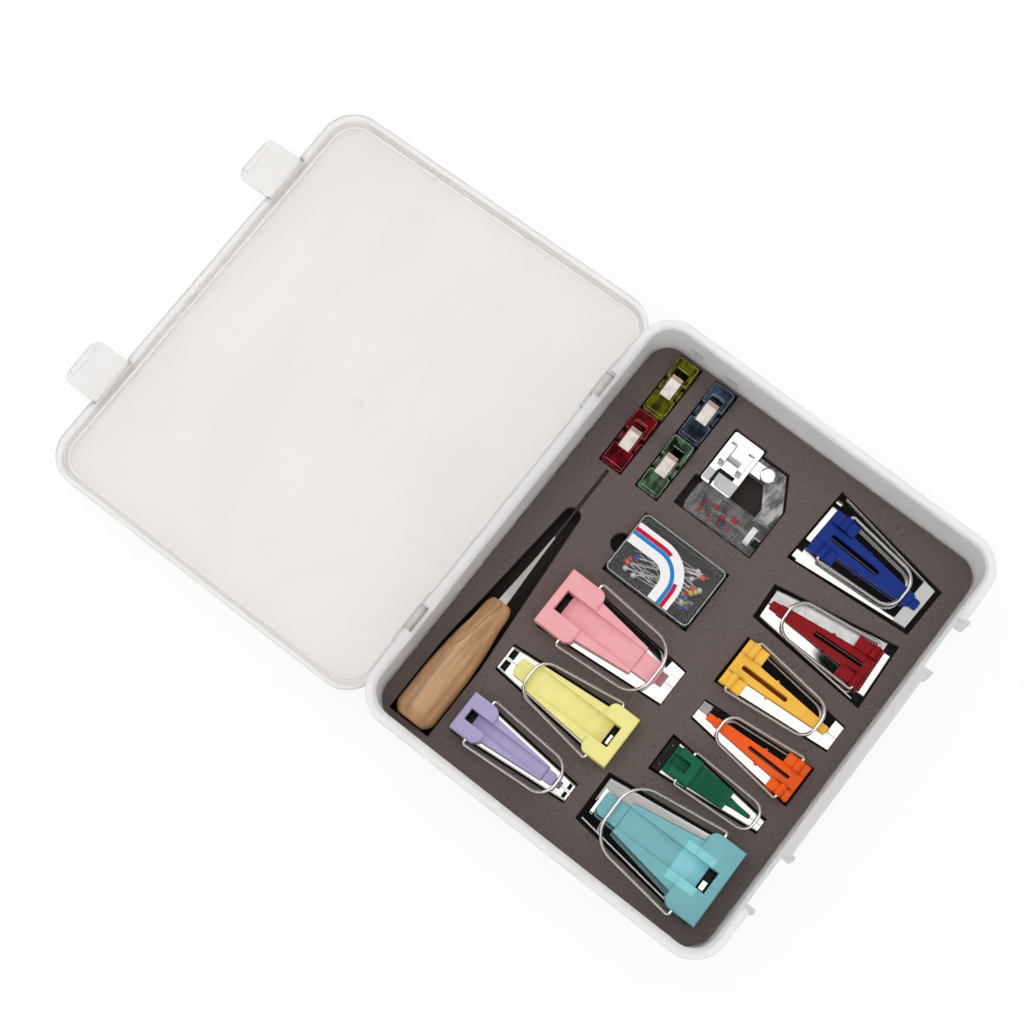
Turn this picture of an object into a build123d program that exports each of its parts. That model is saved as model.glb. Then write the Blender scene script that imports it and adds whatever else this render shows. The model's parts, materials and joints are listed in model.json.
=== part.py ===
from build123d import *

import os
from dataclasses import dataclass
from math import asin, atan2, cos, degrees, hypot, radians, sin, tan

# Bias tape maker kit: a hinged case with a foam insert that holds tape makers, an awl, sewing clips,
# an adjustable binder foot and a box of pins. Sizes are in millimetres and angles in degrees.
# The origin is the centre of the case's underside, +X runs from the hinge to the front of the base,
# +Y along the hinge and +Z up. The case lies open, with the lid's outer edge on the table.

# General fits
RUN_CLEARANCE = 0.06
SIDE_CLEARANCE = 0.3
SEAT_GAP = 0.3

# Foam insert
FOAM_LENGTH = 200.0
FOAM_WIDTH = 167.0
FOAM_THICKNESS = 18.4
FOAM_CORNER = 10.0
FOAM_FIT = 0.3
POCKET_CLEARANCE = 0.7

# Case base
CASE_FLOOR = 1.6
CASE_WALL = 1.8
CASE_DRAFT = 1.2
HEADROOM = 21.0
RIM_OVERHANG = 2.85
RIM_THICKNESS = 2.0

# Case lid, described as it lies when closed
LID_GAP = 0.3
LID_DEPTH = 7.0
LID_SKIN = 1.6
LID_STEP = 2.4
LID_BEAD_HEIGHT = 3.0
LID_EDGE_ROUND = 2.0

# Hinge between base and lid
HINGE_DROP = 7.5
HINGE_SPREAD = 126.0
HINGE_PIN_D = 2.4
HINGE_BARREL_D = 5.2
HINGE_ARM_WIDTH = 12.0
HINGE_ARM_THICKNESS = 2.4
HINGE_LUG_WIDTH = 6.0

# Latch flaps on the lid's front edge and their catches on the base
LATCH_SPREAD = 120.0
LATCH_WIDTH = 23.0
LATCH_LENGTH = 19.0
LATCH_THICKNESS = 1.8
LATCH_CORNER = 4.0
LATCH_BARREL_D = 2.2
LATCH_TRUNNION_D = 1.4
LATCH_TRUNNION_LENGTH = 1.6
LATCH_HOOK_LENGTH = 3.4
LATCH_HOOK_DEPTH = 0.7
CATCH_HEIGHT = 1.6
CATCH_DEPTH = 0.9
CATCH_RIB = 2.0
CATCH_RIB_REACH = 1.8

# Tape makers: values that all of them share
SHEET = 0.6
FOLDER_HEIGHT = 5.1
FOLDER_PROUD = 0.2
SEAM_WIDTH = 0.7
LIP_HEIGHT = 1.8
FOOT_DEPTH = 1.6
GUIDE_PLATE = 2.0
CHANNEL_PLATE = 3.2
CHANNEL_DEPTH = 0.7
CHANNEL_RAMP = 5.0
WING_RISE = 1.6
NUB_R = 0.9
RIBBED_PLATE = 2.6
RIB_PITCH = 1.4
RIB_HEIGHT = 0.5
RIB_INSET = 0.5
BRIDGE_SETBACK = 1.0
EAR_SHARE = 0.29
EAR_ROUND = 1.8
EAR_PROUD = 0.2
TONGUE_FLARE = 0.4
GUIDE_EDGE_ROUND = 0.7
BAIL_COVER = 1.1
SHOULDER_SHARE = 0.75
WINDOW_SILL = 1.0
SLOTTED_TIP = 1.4
CHANNEL_TIP = 2.4
RIBBED_TIP = 1.56
TIP_OVERLAP = 0.5
FOOT_SETBACK = 6.0
FLANGE_GRIP = 1.0
WIRE_D = 1.4
BAIL_GAP = 0.3
BAIL_HOOK_BEND = 1.2
BAIL_HOOK_DEPTH = 3.0

# Awl
AWL_SIDE_MARGIN = 16.5
AWL_BUTT_MARGIN = 3.5
AWL_HANDLE_LENGTH = 62.5
AWL_HANDLE_R = 9.4
AWL_NECK_R = 4.4
AWL_SWELL_SHARE = 0.72
AWL_PROFILE_STEPS = 5
AWL_BUTT_LENGTH = 6.0
AWL_BUTT_FLAT = 3.5
AWL_BLADE_LENGTH = 72.0
AWL_BLADE_R = 2.1
AWL_POINT_R = 0.06
AWL_BLADE_SHAPE = ((0.66, 0.2), (0.32, 0.45), (0.2, 0.78))
AWL_TANG_R = 1.6
AWL_TANG_LENGTH = 26.0
AWL_SINK = 1.0
AWL_FACET_TILT = 40.0
AWL_FACET_DEPTH = 1.1
AWL_POCKET_END = 51.5
AWL_POCKET_END_R = 4.0
AWL_TROUGH_SHARE = 0.45

# Sewing clips
CLIP_LENGTH = 26.6
CLIP_WIDTH = 10.4
CLIP_PLATE = 1.8
CLIP_PIVOT_Z = 3.6
CLIP_PIN_D = 1.8
CLIP_EAR = 1.4
CLIP_EAR_LENGTH = 5.0
CLIP_EAR_ROOM = 1.2
CLIP_LEVER = 2.2
CLIP_HANDLE_Z = 10.4
CLIP_SPRING_WIDTH = 5.4
CLIP_SPRING_SHEET = 0.5
CLIP_SPRING_REACH = 4.6
CLIP_WINDOW_LENGTH = 3.4
CLIP_SINK = 5.0
CLIP_CORNER = 1.2
CLIP_BITE = 0.1

# Binder foot
BINDER_SIDE_MARGIN = 56.9
BINDER_BACK_MARGIN = 26.6
BINDER_SINK = 2.5
PLATE_WIDTH = 15.4
PLATE_LENGTH = 26.0
PLATE_THICKNESS = 1.6
PLATE_CORNER = 1.2
TOE_SPLIT_SHARE = 0.28
TOE_LENGTH = 8.6
TOE_SLOT = 0.9
NEEDLE_SLOT = 1.6
RAIL_WIDTH = 2.7
RAIL_LENGTH = 10.5
RAIL_HEIGHT = 4.5
RAIL_SPACING = 9.0
RAIL_SETBACK = 1.5
RAIL_ROUND = 1.4
CROSS_PIN_D = 1.4
ARM_REACH = 10.4
ARM_WIDTH = 6.5
ARM_THICKNESS = 1.2
STUD_D = 7.2
STUD_HEIGHT = 2.2
STUD_SHANK_D = 3.0
STUD_SHIFT = 4.94
STUD_ROUND = 0.8
FRAME_SHEET = 2.15
FRAME_BLOCK_HEIGHT = 5.7
FRAME_LEG = 8.2
FRAME_BEVEL = 13.94
FRAME_MARGIN = 2.2
FRAME_INNER_BEVEL = 5.5
BLOCK_LENGTH = 35.0
BLOCK_WIDTH = 14.6
BLOCK_SETBACK = 2.0
BLOCK_WALL = 1.6
BEARING_WALL = 3.2
SLIDER_LENGTH = 12.4
SLIDER_PROUD = 0.7
SLIDER_CORNER = 0.8
SLIDER_GROOVE = 2.2
SLIDER_GROOVE_DEPTH = 0.9
SLIDER_RIM = 1.2
SLIDER_RUN_OUT = 3.7
SCREW_RISE = 3.705
SCREW_D = 2.0
SCREW_LENGTH = 25.0
WHEEL_D = 8.6
WHEEL_WIDTH = 2.6
WHEEL_GROOVES = 24
WHEEL_GROOVE_R = 0.3

# Pin box
PIN_BOX_SIDE_MARGIN = 62.4
PIN_BOX_BACK_MARGIN = 81.3
PIN_BOX_LENGTH = 42.6
PIN_BOX_WIDTH = 29.3
PIN_BOX_WALL = 1.1
PIN_BOX_CORNER = 2.4
PIN_LID_ROUND = 0.6
PIN_TRAY_HEIGHT = 11.0
PIN_LID_SKIRT = 5.0
PIN_LID_FIT = 0.2
PIN_BOX_SINK = 8.3
LABEL_SHEET = 0.2
LABEL_WIDTH = 10.0
LABEL_INNER_R = 6.0
LABEL_SETBACK = 4.1
LABEL_SIDE_SETBACK = 5.1
LABEL_EDGE = 0.8
PIN_LENGTH = 29.0
PIN_SHAFT_D = 0.66
PIN_POINT_LENGTH = 2.0
PIN_POINT_R = 0.08
PIN_HEAD_D = 3.3
PIN_ROWS = 10
PIN_ROW_PITCH = 2.1
PIN_LAYERS = 2
PIN_LAYER_GAP = 0.05
PIN_STAGGER = 1.2
PIN_COLOURS = ("white", "red", "blue", "yellow")
FINGER_NOTCH_R = 4.7
FINGER_NOTCH_SHIFT = -1.7


def left(distance):
    """X at a distance from the foam's edge on the hinge side."""
    return -FOAM_WIDTH / 2 + distance


def right(distance):
    """X at a distance from the foam's edge on the latch side."""
    return FOAM_WIDTH / 2 - distance


def near(distance):
    """Y at a distance from the foam's edge at the awl's butt."""
    return -FOAM_LENGTH / 2 + distance


def far(distance):
    """Y at a distance from the foam's edge behind the clips."""
    return FOAM_LENGTH / 2 - distance


@dataclass(frozen=True)
class TapeMaker:
    """One tape maker: u runs along it from the folder's wide end to its narrow end."""

    name: str
    x: float                # centre of the wide end
    y: float
    yaw: float
    length: float           # folder
    wide: float
    narrow: float
    lip: float
    head_start: float       # plastic guide
    head_end: float
    head_width: float
    root_width: float       # tongue where it leaves the head
    shoulder: float         # where the tongue steps down to its tip
    shoulder_width: float
    tip_width: float
    tip_end: float
    slot_start: float       # slot, window or recess in the guide
    slot_end: float
    slot_width: float
    bail_u: float           # wire bail
    bail_width: float
    bail_end: float
    bail_end_width: float
    bail_corner: float
    pocket_end: float = 0.3
    end_window: float = 0.0  # window across the folder's top, near its narrow end

    def half(self, u):
        """Half the folder's outer width at u."""
        return (self.wide + (self.narrow - self.wide) * u / self.length) / 2

    def gap(self, u):
        """Half the width of the opening between the folder's two top flanges at u."""
        root = self.root_width / 2 - FLANGE_GRIP
        return root + (SEAM_WIDTH / 2 - root) * u / self.length

    def place(self):
        """Where the maker lies in the row frame."""
        return Pos(self.x, self.y, FOAM_TOP + FOLDER_PROUD - FOLDER_HEIGHT) * Rot(0, 0, self.yaw)


SLOTTED_MAKERS = (
    TapeMaker("blue", right(66.5), far(26.4), -2.7, length=55.5, wide=35.8, narrow=20.4, lip=2.8,
              head_start=3.1, head_end=15.5, head_width=21.4, root_width=12.8, shoulder=50.5,
              shoulder_width=6.0, tip_width=4.8, tip_end=54.0, slot_start=8.0, slot_end=33.0,
              slot_width=2.8, bail_u=9.6, bail_width=24.4, bail_end=46.4, bail_end_width=17.8,
              bail_corner=7.5, pocket_end=2.6),
    TapeMaker("red", right(8.5), far(62.8), 183.0, length=54.0, wide=29.9, narrow=13.9, lip=4.0,
              head_start=3.1, head_end=15.1, head_width=20.0, root_width=10.4, shoulder=49.0,
              shoulder_width=4.8, tip_width=4.2, tip_end=53.0, slot_start=7.7, slot_end=31.7,
              slot_width=2.3, bail_u=6.6, bail_width=23.0, bail_end=45.3, bail_end_width=17.2,
              bail_corner=7.5, pocket_end=2.4),
    TapeMaker("yellow", right(60.1), far(94.1), -0.4, length=53.2, wide=22.4, narrow=11.5, lip=1.2,
              head_start=0.7, head_end=11.1, head_width=22.3, root_width=9.6, shoulder=44.0,
              shoulder_width=4.6, tip_width=4.0, tip_end=48.3, slot_start=5.0, slot_end=28.0,
              slot_width=2.2, bail_u=5.0, bail_width=25.4, bail_end=44.0, bail_end_width=16.6,
              bail_corner=7.2),
    TapeMaker("orange", right(7.3), near(80.5), 179.6, length=51.6, wide=18.2, narrow=8.4, lip=1.0,
              head_start=0.4, head_end=11.2, head_width=17.7, root_width=8.4, shoulder=43.0,
              shoulder_width=3.8, tip_width=3.2, tip_end=47.0, slot_start=5.2, slot_end=26.0,
              slot_width=1.7, bail_u=5.2, bail_width=20.9, bail_end=40.1, bail_end_width=12.8,
              bail_corner=5.6),
)
CHANNEL_MAKERS = (
    TapeMaker("pink", left(34.5), near(81.4), -0.2, length=60.0, wide=27.0, narrow=16.8, lip=1.0,
              head_start=-2.6, head_end=15.5, head_width=27.3, root_width=19.6, shoulder=42.0,
              shoulder_width=13.4, tip_width=10.2, tip_end=52.6, slot_start=1.0, slot_end=4.2,
              slot_width=10.0, bail_u=10.8, bail_width=32.6, bail_end=51.1, bail_end_width=26.4,
              bail_corner=10.5),
    TapeMaker("primrose", left(89.5), near(49.3), 180.4, length=58.0, wide=21.7, narrow=11.7, lip=1.0,
              head_start=-2.7, head_end=10.7, head_width=24.7, root_width=17.6, shoulder=45.0,
              shoulder_width=12.6, tip_width=8.6, tip_end=51.7, slot_start=1.5, slot_end=4.7,
              slot_width=10.2, bail_u=6.3, bail_width=28.2, bail_end=44.8, bail_end_width=16.8,
              bail_corner=7.4, end_window=2.6),
    TapeMaker("lilac", left(33.5), near(20.3), 0.4, length=54.0, wide=17.9, narrow=8.2, lip=1.0,
              head_start=-1.9, head_end=12.0, head_width=18.2, root_width=11.8, shoulder=41.0,
              shoulder_width=6.8, tip_width=5.4, tip_end=46.0, slot_start=1.0, slot_end=4.5,
              slot_width=5.4, bail_u=6.7, bail_width=22.2, bail_end=47.1, bail_end_width=17.0,
              bail_corner=7.6, end_window=2.2),
    TapeMaker("teal", right(11.5), near(26.6), 180.8, length=58.5, wide=36.2, narrow=20.6, lip=1.0,
              head_start=-3.8, head_end=12.6, head_width=36.6, root_width=25.4, shoulder=45.0,
              shoulder_width=14.4, tip_width=10.6, tip_end=55.7, slot_start=0.7, slot_end=5.0,
              slot_width=10.4, bail_u=7.3, bail_width=41.4, bail_end=50.3, bail_end_width=30.0,
              bail_corner=12.5, pocket_end=2.0),
)
RIBBED_MAKERS = (
    TapeMaker("green", right(60.0), near(57.4), 0.7, length=50.0, wide=16.4, narrow=5.8, lip=4.0,
              head_start=4.0, head_end=19.5, head_width=12.4, root_width=11.0, shoulder=33.3,
              shoulder_width=8.6, tip_width=3.2, tip_end=44.0, slot_start=4.9, slot_end=12.6,
              slot_width=5.0, bail_u=11.3, bail_width=16.0, bail_end=47.0, bail_end_width=12.8,
              bail_corner=5.6),
)
MAKERS = SLOTTED_MAKERS + CHANNEL_MAKERS + RIBBED_MAKERS


@dataclass(frozen=True)
class Clip:
    """One sewing clip and the centre of its pocket."""

    name: str
    x: float
    y: float

    def place(self):
        """Where the clip lies, with its nose towards the awl."""
        return Pos(self.x, self.y, FOAM_TOP - CLIP_SINK) * Rot(0, 0, 90)


CLIPS = (
    Clip("olive", left(16.2), far(16.6)),
    Clip("navy", left(35.1), far(16.4)),
    Clip("maroon", left(16.1), far(45.6)),
    Clip("mint", left(35.2), far(45.4)),
)

# Worked out from the sizes above
FOAM_TOP = CASE_FLOOR + FOAM_THICKNESS
RIM_Z = FOAM_TOP + HEADROOM
DRAFT_SLOPE = tan(radians(CASE_DRAFT))
HINGE_STATIONS = (-HINGE_SPREAD / 2, HINGE_SPREAD / 2)
LATCH_STATIONS = {"front_latch_a": -LATCH_SPREAD / 2, "front_latch_b": LATCH_SPREAD / 2}


def spread_at(z):
    """How far the case's inner wall stands out from the foam's side at height z."""
    return FOAM_FIT + (z - CASE_FLOOR) * DRAFT_SLOPE


RIM_SPREAD = spread_at(RIM_Z) + CASE_WALL + RIM_OVERHANG
RIM_HALF_X = FOAM_WIDTH / 2 + RIM_SPREAD
HINGE_X = -RIM_HALF_X - 0.1
HINGE_Z = RIM_Z - HINGE_DROP
LID_Z = RIM_Z + LID_GAP
LATCH_X = RIM_HALF_X - LID_STEP / 2
LATCH_Z = LID_Z + LID_BEAD_HEIGHT / 2
LID_REACH = RIM_HALF_X - LID_STEP - HINGE_X - LID_EDGE_ROUND
LID_RISE = LID_Z + LID_DEPTH - HINGE_Z - LID_EDGE_ROUND
LID_TILT = degrees(
    asin((HINGE_Z - LID_EDGE_ROUND) / hypot(LID_REACH, LID_RISE)) - atan2(LID_RISE, LID_REACH)
)
LID_OPEN_ANGLE = 180 + LID_TILT


def block(x0, x1, y0, y1, z0, z1):
    """Box between two opposite corners."""
    return Pos((x0 + x1) / 2, (y0 + y1) / 2, (z0 + z1) / 2) * Box(x1 - x0, y1 - y0, z1 - z0)


def prism(points, z0, z1):
    """Closed outline through the points, raised from z0 to z1."""
    outline = make_face(Polyline(*points, close=True))
    return extrude(Pos(0, 0, z0) * outline, z1 - z0, dir=(0, 0, 1))


def taper(u0, u1, half0, half1, z0, z1):
    """Flat tapered bar along u, from half width half0 at u0 to half1 at u1."""
    return prism([(u0, -half0), (u1, -half1), (u1, half1), (u0, half0)], z0, z1)


def rod(radius, length, centre, axis):
    """Cylinder about its centre, along X or Y."""
    turn = Rot(0, 90, 0) if axis == "x" else Rot(90, 0, 0)
    return Pos(*centre) * turn * Cylinder(radius, length)


def side_profile(points, width):
    """Outline in the (u, height) plane, given a width across v."""
    outline = make_face(Polyline(*points, close=True))
    return Rot(90, 0, 0) * extrude(Pos(0, 0, -width / 2) * outline, width, dir=(0, 0, 1))


def foam_loop(spread, z):
    """Rounded rectangle that stands out from the foam's outline by spread, at height z."""
    return Pos(0, 0, z) * RectangleRounded(
        FOAM_WIDTH + 2 * spread, FOAM_LENGTH + 2 * spread, FOAM_CORNER + spread)


def top_edges(solid):
    """Edges round the highest face."""
    return solid.faces().sort_by(Axis.Z)[-1].edges()


# Case

def case_base():
    """Tub with drafted walls, a rim, hinge lugs at the back and latch catches at the front."""
    outer = loft([foam_loop(spread_at(0) + CASE_WALL, 0), foam_loop(spread_at(RIM_Z) + CASE_WALL, RIM_Z)])
    rim = extrude(foam_loop(RIM_SPREAD, RIM_Z - RIM_THICKNESS), RIM_THICKNESS)
    cavity = loft([foam_loop(spread_at(CASE_FLOOR), CASE_FLOOR),
                   foam_loop(spread_at(RIM_Z + 1), RIM_Z + 1)])
    base = outer + rim
    wall_x = FOAM_WIDTH / 2 + spread_at(HINGE_Z) + CASE_WALL
    barrel_r = HINGE_BARREL_D / 2
    lug_offset = HINGE_ARM_WIDTH / 2 + SIDE_CLEARANCE + HINGE_LUG_WIDTH / 2
    for station in HINGE_STATIONS:
        room = HINGE_ARM_WIDTH / 2 + SIDE_CLEARANCE
        base -= block(-RIM_HALF_X - 1, -FOAM_WIDTH / 2 - spread_at(RIM_Z) - CASE_WALL, station - room,
                      station + room, RIM_Z - RIM_THICKNESS - 1, RIM_Z + 1)
        for side in (-1, 1):
            lug_y = station + side * lug_offset
            base += rod(barrel_r, HINGE_LUG_WIDTH, (HINGE_X, lug_y, HINGE_Z), "y")
            base += block(HINGE_X, -wall_x + CASE_WALL / 2, lug_y - HINGE_LUG_WIDTH / 2,
                          lug_y + HINGE_LUG_WIDTH / 2, HINGE_Z - barrel_r, HINGE_Z + barrel_r)
        pin_room = HINGE_PIN_D / 2 + RUN_CLEARANCE
        base -= rod(pin_room, HINGE_ARM_WIDTH + 4 * HINGE_LUG_WIDTH, (HINGE_X, station, HINGE_Z), "y")
    rim_wall_x = FOAM_WIDTH / 2 + spread_at(RIM_Z) + CASE_WALL
    flap_half = LATCH_WIDTH / 2 + 2 * SIDE_CLEARANCE
    hook_top = LATCH_Z - LATCH_LENGTH + LATCH_HOOK_LENGTH
    catch_z = hook_top + 2 * SIDE_CLEARANCE
    catch_wall = FOAM_WIDTH / 2 + spread_at(catch_z) + CASE_WALL
    for station in LATCH_STATIONS.values():
        base -= block(rim_wall_x, RIM_HALF_X + 1, station - flap_half, station + flap_half,
                      RIM_Z - RIM_THICKNESS - 1, RIM_Z + 1)
        base += block(catch_wall - CASE_WALL / 2, catch_wall + CATCH_DEPTH, station - flap_half,
                      station + flap_half, catch_z, catch_z + CATCH_HEIGHT)
        for side in (-1, 1):
            rib_y = station + side * (flap_half + CATCH_RIB / 2)
            base += block(catch_wall - CASE_WALL / 2, RIM_HALF_X + CATCH_RIB_REACH, rib_y - CATCH_RIB / 2,
                          rib_y + CATCH_RIB / 2, catch_z - LATCH_HOOK_LENGTH, RIM_Z)
    return base - cavity


def hinge_pins():
    """Two steel pins, one through each hinge station."""
    length = HINGE_ARM_WIDTH + 2 * SIDE_CLEARANCE + 2 * HINGE_LUG_WIDTH
    pins = [rod(HINGE_PIN_D / 2, length, (HINGE_X, station, HINGE_Z), "y") for station in HINGE_STATIONS]
    return Compound(children=pins)


def opened(solid):
    """Swing a piece of the closed lid to where the open lid lies."""
    about = Pos(HINGE_X, 0, HINGE_Z)
    return about * Rot(0, -LID_OPEN_ANGLE, 0) * about.inverse() * solid


def case_lid():
    """Shallow lid with an edge bead, hinge arms at the back and latch seats at the front."""
    bead = extrude(foam_loop(RIM_SPREAD, LID_Z), LID_BEAD_HEIGHT)
    shell = extrude(foam_loop(RIM_SPREAD - LID_STEP, LID_Z), LID_DEPTH)
    shell = fillet(top_edges(shell), LID_EDGE_ROUND)
    lid = bead + shell
    lid -= extrude(foam_loop(RIM_SPREAD - LID_STEP - LID_SKIN, LID_Z), LID_DEPTH - LID_SKIN)
    for station in HINGE_STATIONS:
        arm_half = HINGE_ARM_WIDTH / 2
        lid += rod(HINGE_BARREL_D / 2, HINGE_ARM_WIDTH, (HINGE_X, station, HINGE_Z), "y")
        lid += block(HINGE_X - HINGE_ARM_THICKNESS / 2, HINGE_X + HINGE_ARM_THICKNESS / 2,
                     station - arm_half, station + arm_half, HINGE_Z, LID_Z + LID_BEAD_HEIGHT)
        lid -= rod(HINGE_PIN_D / 2 + RUN_CLEARANCE, HINGE_ARM_WIDTH + 2, (HINGE_X, station, HINGE_Z), "y")
    seat_x = LATCH_X - LATCH_BARREL_D / 2 - 0.2
    for station in LATCH_STATIONS.values():
        half = LATCH_WIDTH / 2 + SIDE_CLEARANCE
        lid -= block(seat_x, RIM_HALF_X + 1, station - half, station + half,
                     LID_Z - 1, LID_Z + LID_BEAD_HEIGHT + 0.2)
        lid -= rod(LATCH_TRUNNION_D / 2 + RUN_CLEARANCE, LATCH_WIDTH + 2 * LATCH_TRUNNION_LENGTH + 0.6,
                   (LATCH_X, station, LATCH_Z), "y")
    return opened(lid)


def latch(station):
    """Latch flap with a barrel, two trunnions and a hook along its free end."""
    half = LATCH_WIDTH / 2
    thick = LATCH_THICKNESS / 2
    hook_u = LATCH_LENGTH - LATCH_HOOK_LENGTH
    flap = block(0, LATCH_LENGTH, -half, half, -thick, thick)
    flap = fillet(flap.edges().filter_by(Axis.Z).sort_by(Axis.X)[-2:], LATCH_CORNER)
    flap += block(hook_u, LATCH_LENGTH, -half + LATCH_CORNER, half - LATCH_CORNER,
                  -thick - LATCH_HOOK_DEPTH, thick)
    flap += rod(LATCH_BARREL_D / 2, LATCH_WIDTH, (0, 0, 0), "y")
    flap += rod(LATCH_TRUNNION_D / 2, LATCH_WIDTH + 2 * LATCH_TRUNNION_LENGTH, (0, 0, 0), "y")
    return opened(Pos(LATCH_X, station, LATCH_Z) * flap)


def foam_insert():
    """Foam slab with a pocket for each tool and a finger notch beside the pin box."""
    foam = extrude(foam_loop(0, CASE_FLOOR), FOAM_THICKNESS)
    for pocket in [maker_pocket(maker) for maker in MAKERS] + [clip_pocket(clip) for clip in CLIPS]:
        foam -= pocket
    for pocket in (awl_pocket(), binder_pocket(), pin_box_pocket()):
        foam -= pocket
    return foam


# Tape makers

def maker_pocket(maker):
    """Tapered pocket round a folder."""
    room = POCKET_CLEARANCE
    end = maker.length + maker.pocket_end
    pocket = taper(-room, end, maker.half(-room) + room, maker.half(end) + room + maker.pocket_end / 2,
                   -SEAT_GAP, FOLDER_HEIGHT + 1)
    return maker.place() * pocket


def folder(maker):
    """Bent sheet folder: floor, two sides and two flanges that close to a seam at the narrow end."""
    end = maker.length
    shell = taper(0, end, maker.half(0), maker.half(end), 0, FOLDER_HEIGHT)
    shell -= taper(-1, end + 1, maker.half(-1) - SHEET, maker.half(end + 1) - SHEET,
                   SHEET, FOLDER_HEIGHT - SHEET)
    shell -= taper(-1, end + 1, maker.gap(-1), maker.gap(end + 1), SHEET, FOLDER_HEIGHT + 1)
    shell -= block(-1, maker.lip, -maker.wide, maker.wide, LIP_HEIGHT, FOLDER_HEIGHT + 1)
    if maker.end_window:
        stop = end - 2 * SHEET
        start = stop - maker.end_window
        shell -= taper(start, stop, maker.half(start) - 2 * SHEET, maker.half(stop) - 2 * SHEET,
                       FOLDER_HEIGHT - 2 * SHEET, FOLDER_HEIGHT + 1)
    return maker.place() * shell


def guide_foot(maker):
    """Foot under the guide that lies between the folder's flanges."""
    start = maker.lip + 1
    end = maker.tip_end - FOOT_SETBACK
    return taper(start, end, maker.gap(start) - SIDE_CLEARANCE, maker.gap(end) - SIDE_CLEARANCE,
                 FOLDER_HEIGHT - SHEET - FOOT_DEPTH, FOLDER_HEIGHT)


def bail_height(plate):
    """Height of the bail's wire above the folder's floor, over a guide plate of that thickness."""
    return FOLDER_HEIGHT + plate + BAIL_GAP + WIRE_D / 2


def bail_holes(maker, plate):
    """Two blind holes in the guide's sides for the bail's hooks."""
    depth = BAIL_HOOK_DEPTH + 2 * SIDE_CLEARANCE
    holes = []
    for side in (-1, 1):
        centre = (maker.bail_u, side * (maker.head_width / 2 - depth / 2 + 1), bail_height(plate))
        holes.append(rod(WIRE_D / 2 + RUN_CLEARANCE, depth + 2, centre, "y"))
    return holes


def guide_tip(maker, base, thickness):
    """Narrow tip of the guide's tongue, rounded at its end."""
    bar = taper(maker.shoulder - TIP_OVERLAP, maker.tip_end, maker.tip_width / 2, maker.tip_width / 2 * 0.94,
                base, base + thickness)
    corners = bar.edges().filter_by(Axis.Z).sort_by(Axis.X)[-2:]
    return fillet(corners, maker.tip_width * 0.2)


def slotted_guide(maker):
    """Guide with two ears, a tapered tongue and a long slot."""
    base = FOLDER_HEIGHT
    half = maker.head_width / 2
    ear = maker.head_width * EAR_SHARE
    axis_z = bail_height(GUIDE_PLATE)
    head = block(maker.head_start, maker.head_end, -half, half, base, base + GUIDE_PLATE)
    for side in (-1, 1):
        inner, outer = sorted((side * (half - ear), side * half))
        boss = block(maker.head_start, maker.head_end, inner, outer, base, axis_z + EAR_PROUD)
        head += fillet(top_edges(boss), GUIDE_EDGE_ROUND)
        head += rod(EAR_ROUND, ear, (maker.bail_u, side * (half - ear / 2), axis_z), "y")
    root = maker.root_width / 2 + TONGUE_FLARE
    tongue = taper(maker.head_start, maker.shoulder, root, maker.shoulder_width / 2, base, base + GUIDE_PLATE)
    guide = head + tongue + guide_tip(maker, base, SLOTTED_TIP) + guide_foot(maker)
    nub_u = (maker.head_end + maker.slot_end) / 2 + NUB_R
    nub_v = root + (maker.shoulder_width / 2 - root) * (nub_u - maker.head_start) / (
        maker.shoulder - maker.head_start)
    for side in (-1, 1):
        guide += Pos(nub_u, side * nub_v, base + GUIDE_PLATE / 4) * Cylinder(NUB_R, GUIDE_PLATE / 2)
    slot_length = maker.slot_end - maker.slot_start
    slot = Pos((maker.slot_start + maker.slot_end) / 2, 0) * SlotOverall(slot_length, maker.slot_width)
    guide -= extrude(slot, base + 2 * GUIDE_PLATE)
    for hole in bail_holes(maker, GUIDE_PLATE):
        guide -= hole
    return maker.place() * guide


def channel_guide(maker):
    """Guide with a broad round-shouldered head, a channel down the middle and a window."""
    base = FOLDER_HEIGHT
    half = maker.head_width / 2
    head_top = bail_height(CHANNEL_PLATE) + WIRE_D / 2 + BAIL_COVER
    head = block(maker.head_start, maker.head_end, -half, half, base, head_top)
    shoulders = head.edges().filter_by(Axis.Z).sort_by(Axis.X)
    head = fillet(shoulders[-2:], (maker.head_end - maker.bail_u) * SHOULDER_SHARE)
    head = fillet(top_edges(head), GUIDE_EDGE_ROUND)
    plate_top = base + CHANNEL_PLATE
    root = maker.head_end - (maker.head_end - maker.bail_u) * SHOULDER_SHARE
    tongue = taper(root, maker.shoulder, maker.root_width / 2 + TONGUE_FLARE, maker.shoulder_width / 2,
                   base, head_top)
    tongue &= side_profile([(root, base), (maker.shoulder, base), (maker.shoulder, plate_top),
                            (root, plate_top + WING_RISE)], maker.head_width)
    guide = head + tongue + guide_tip(maker, base, CHANNEL_TIP) + guide_foot(maker)
    channel = maker.slot_width / 2
    floor = plate_top - CHANNEL_DEPTH
    ramp = side_profile([(maker.slot_start, base + WINDOW_SILL), (maker.slot_end, base + WINDOW_SILL),
                         (maker.slot_end + CHANNEL_RAMP, floor), (maker.tip_end, floor),
                         (maker.tip_end, head_top + 1), (maker.slot_start, head_top + 1)], 2 * channel)
    guide -= ramp
    guide -= block(maker.slot_start, maker.slot_end, -channel, channel, 0, head_top)
    for hole in bail_holes(maker, CHANNEL_PLATE):
        guide -= hole
    return maker.place() * guide


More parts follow.
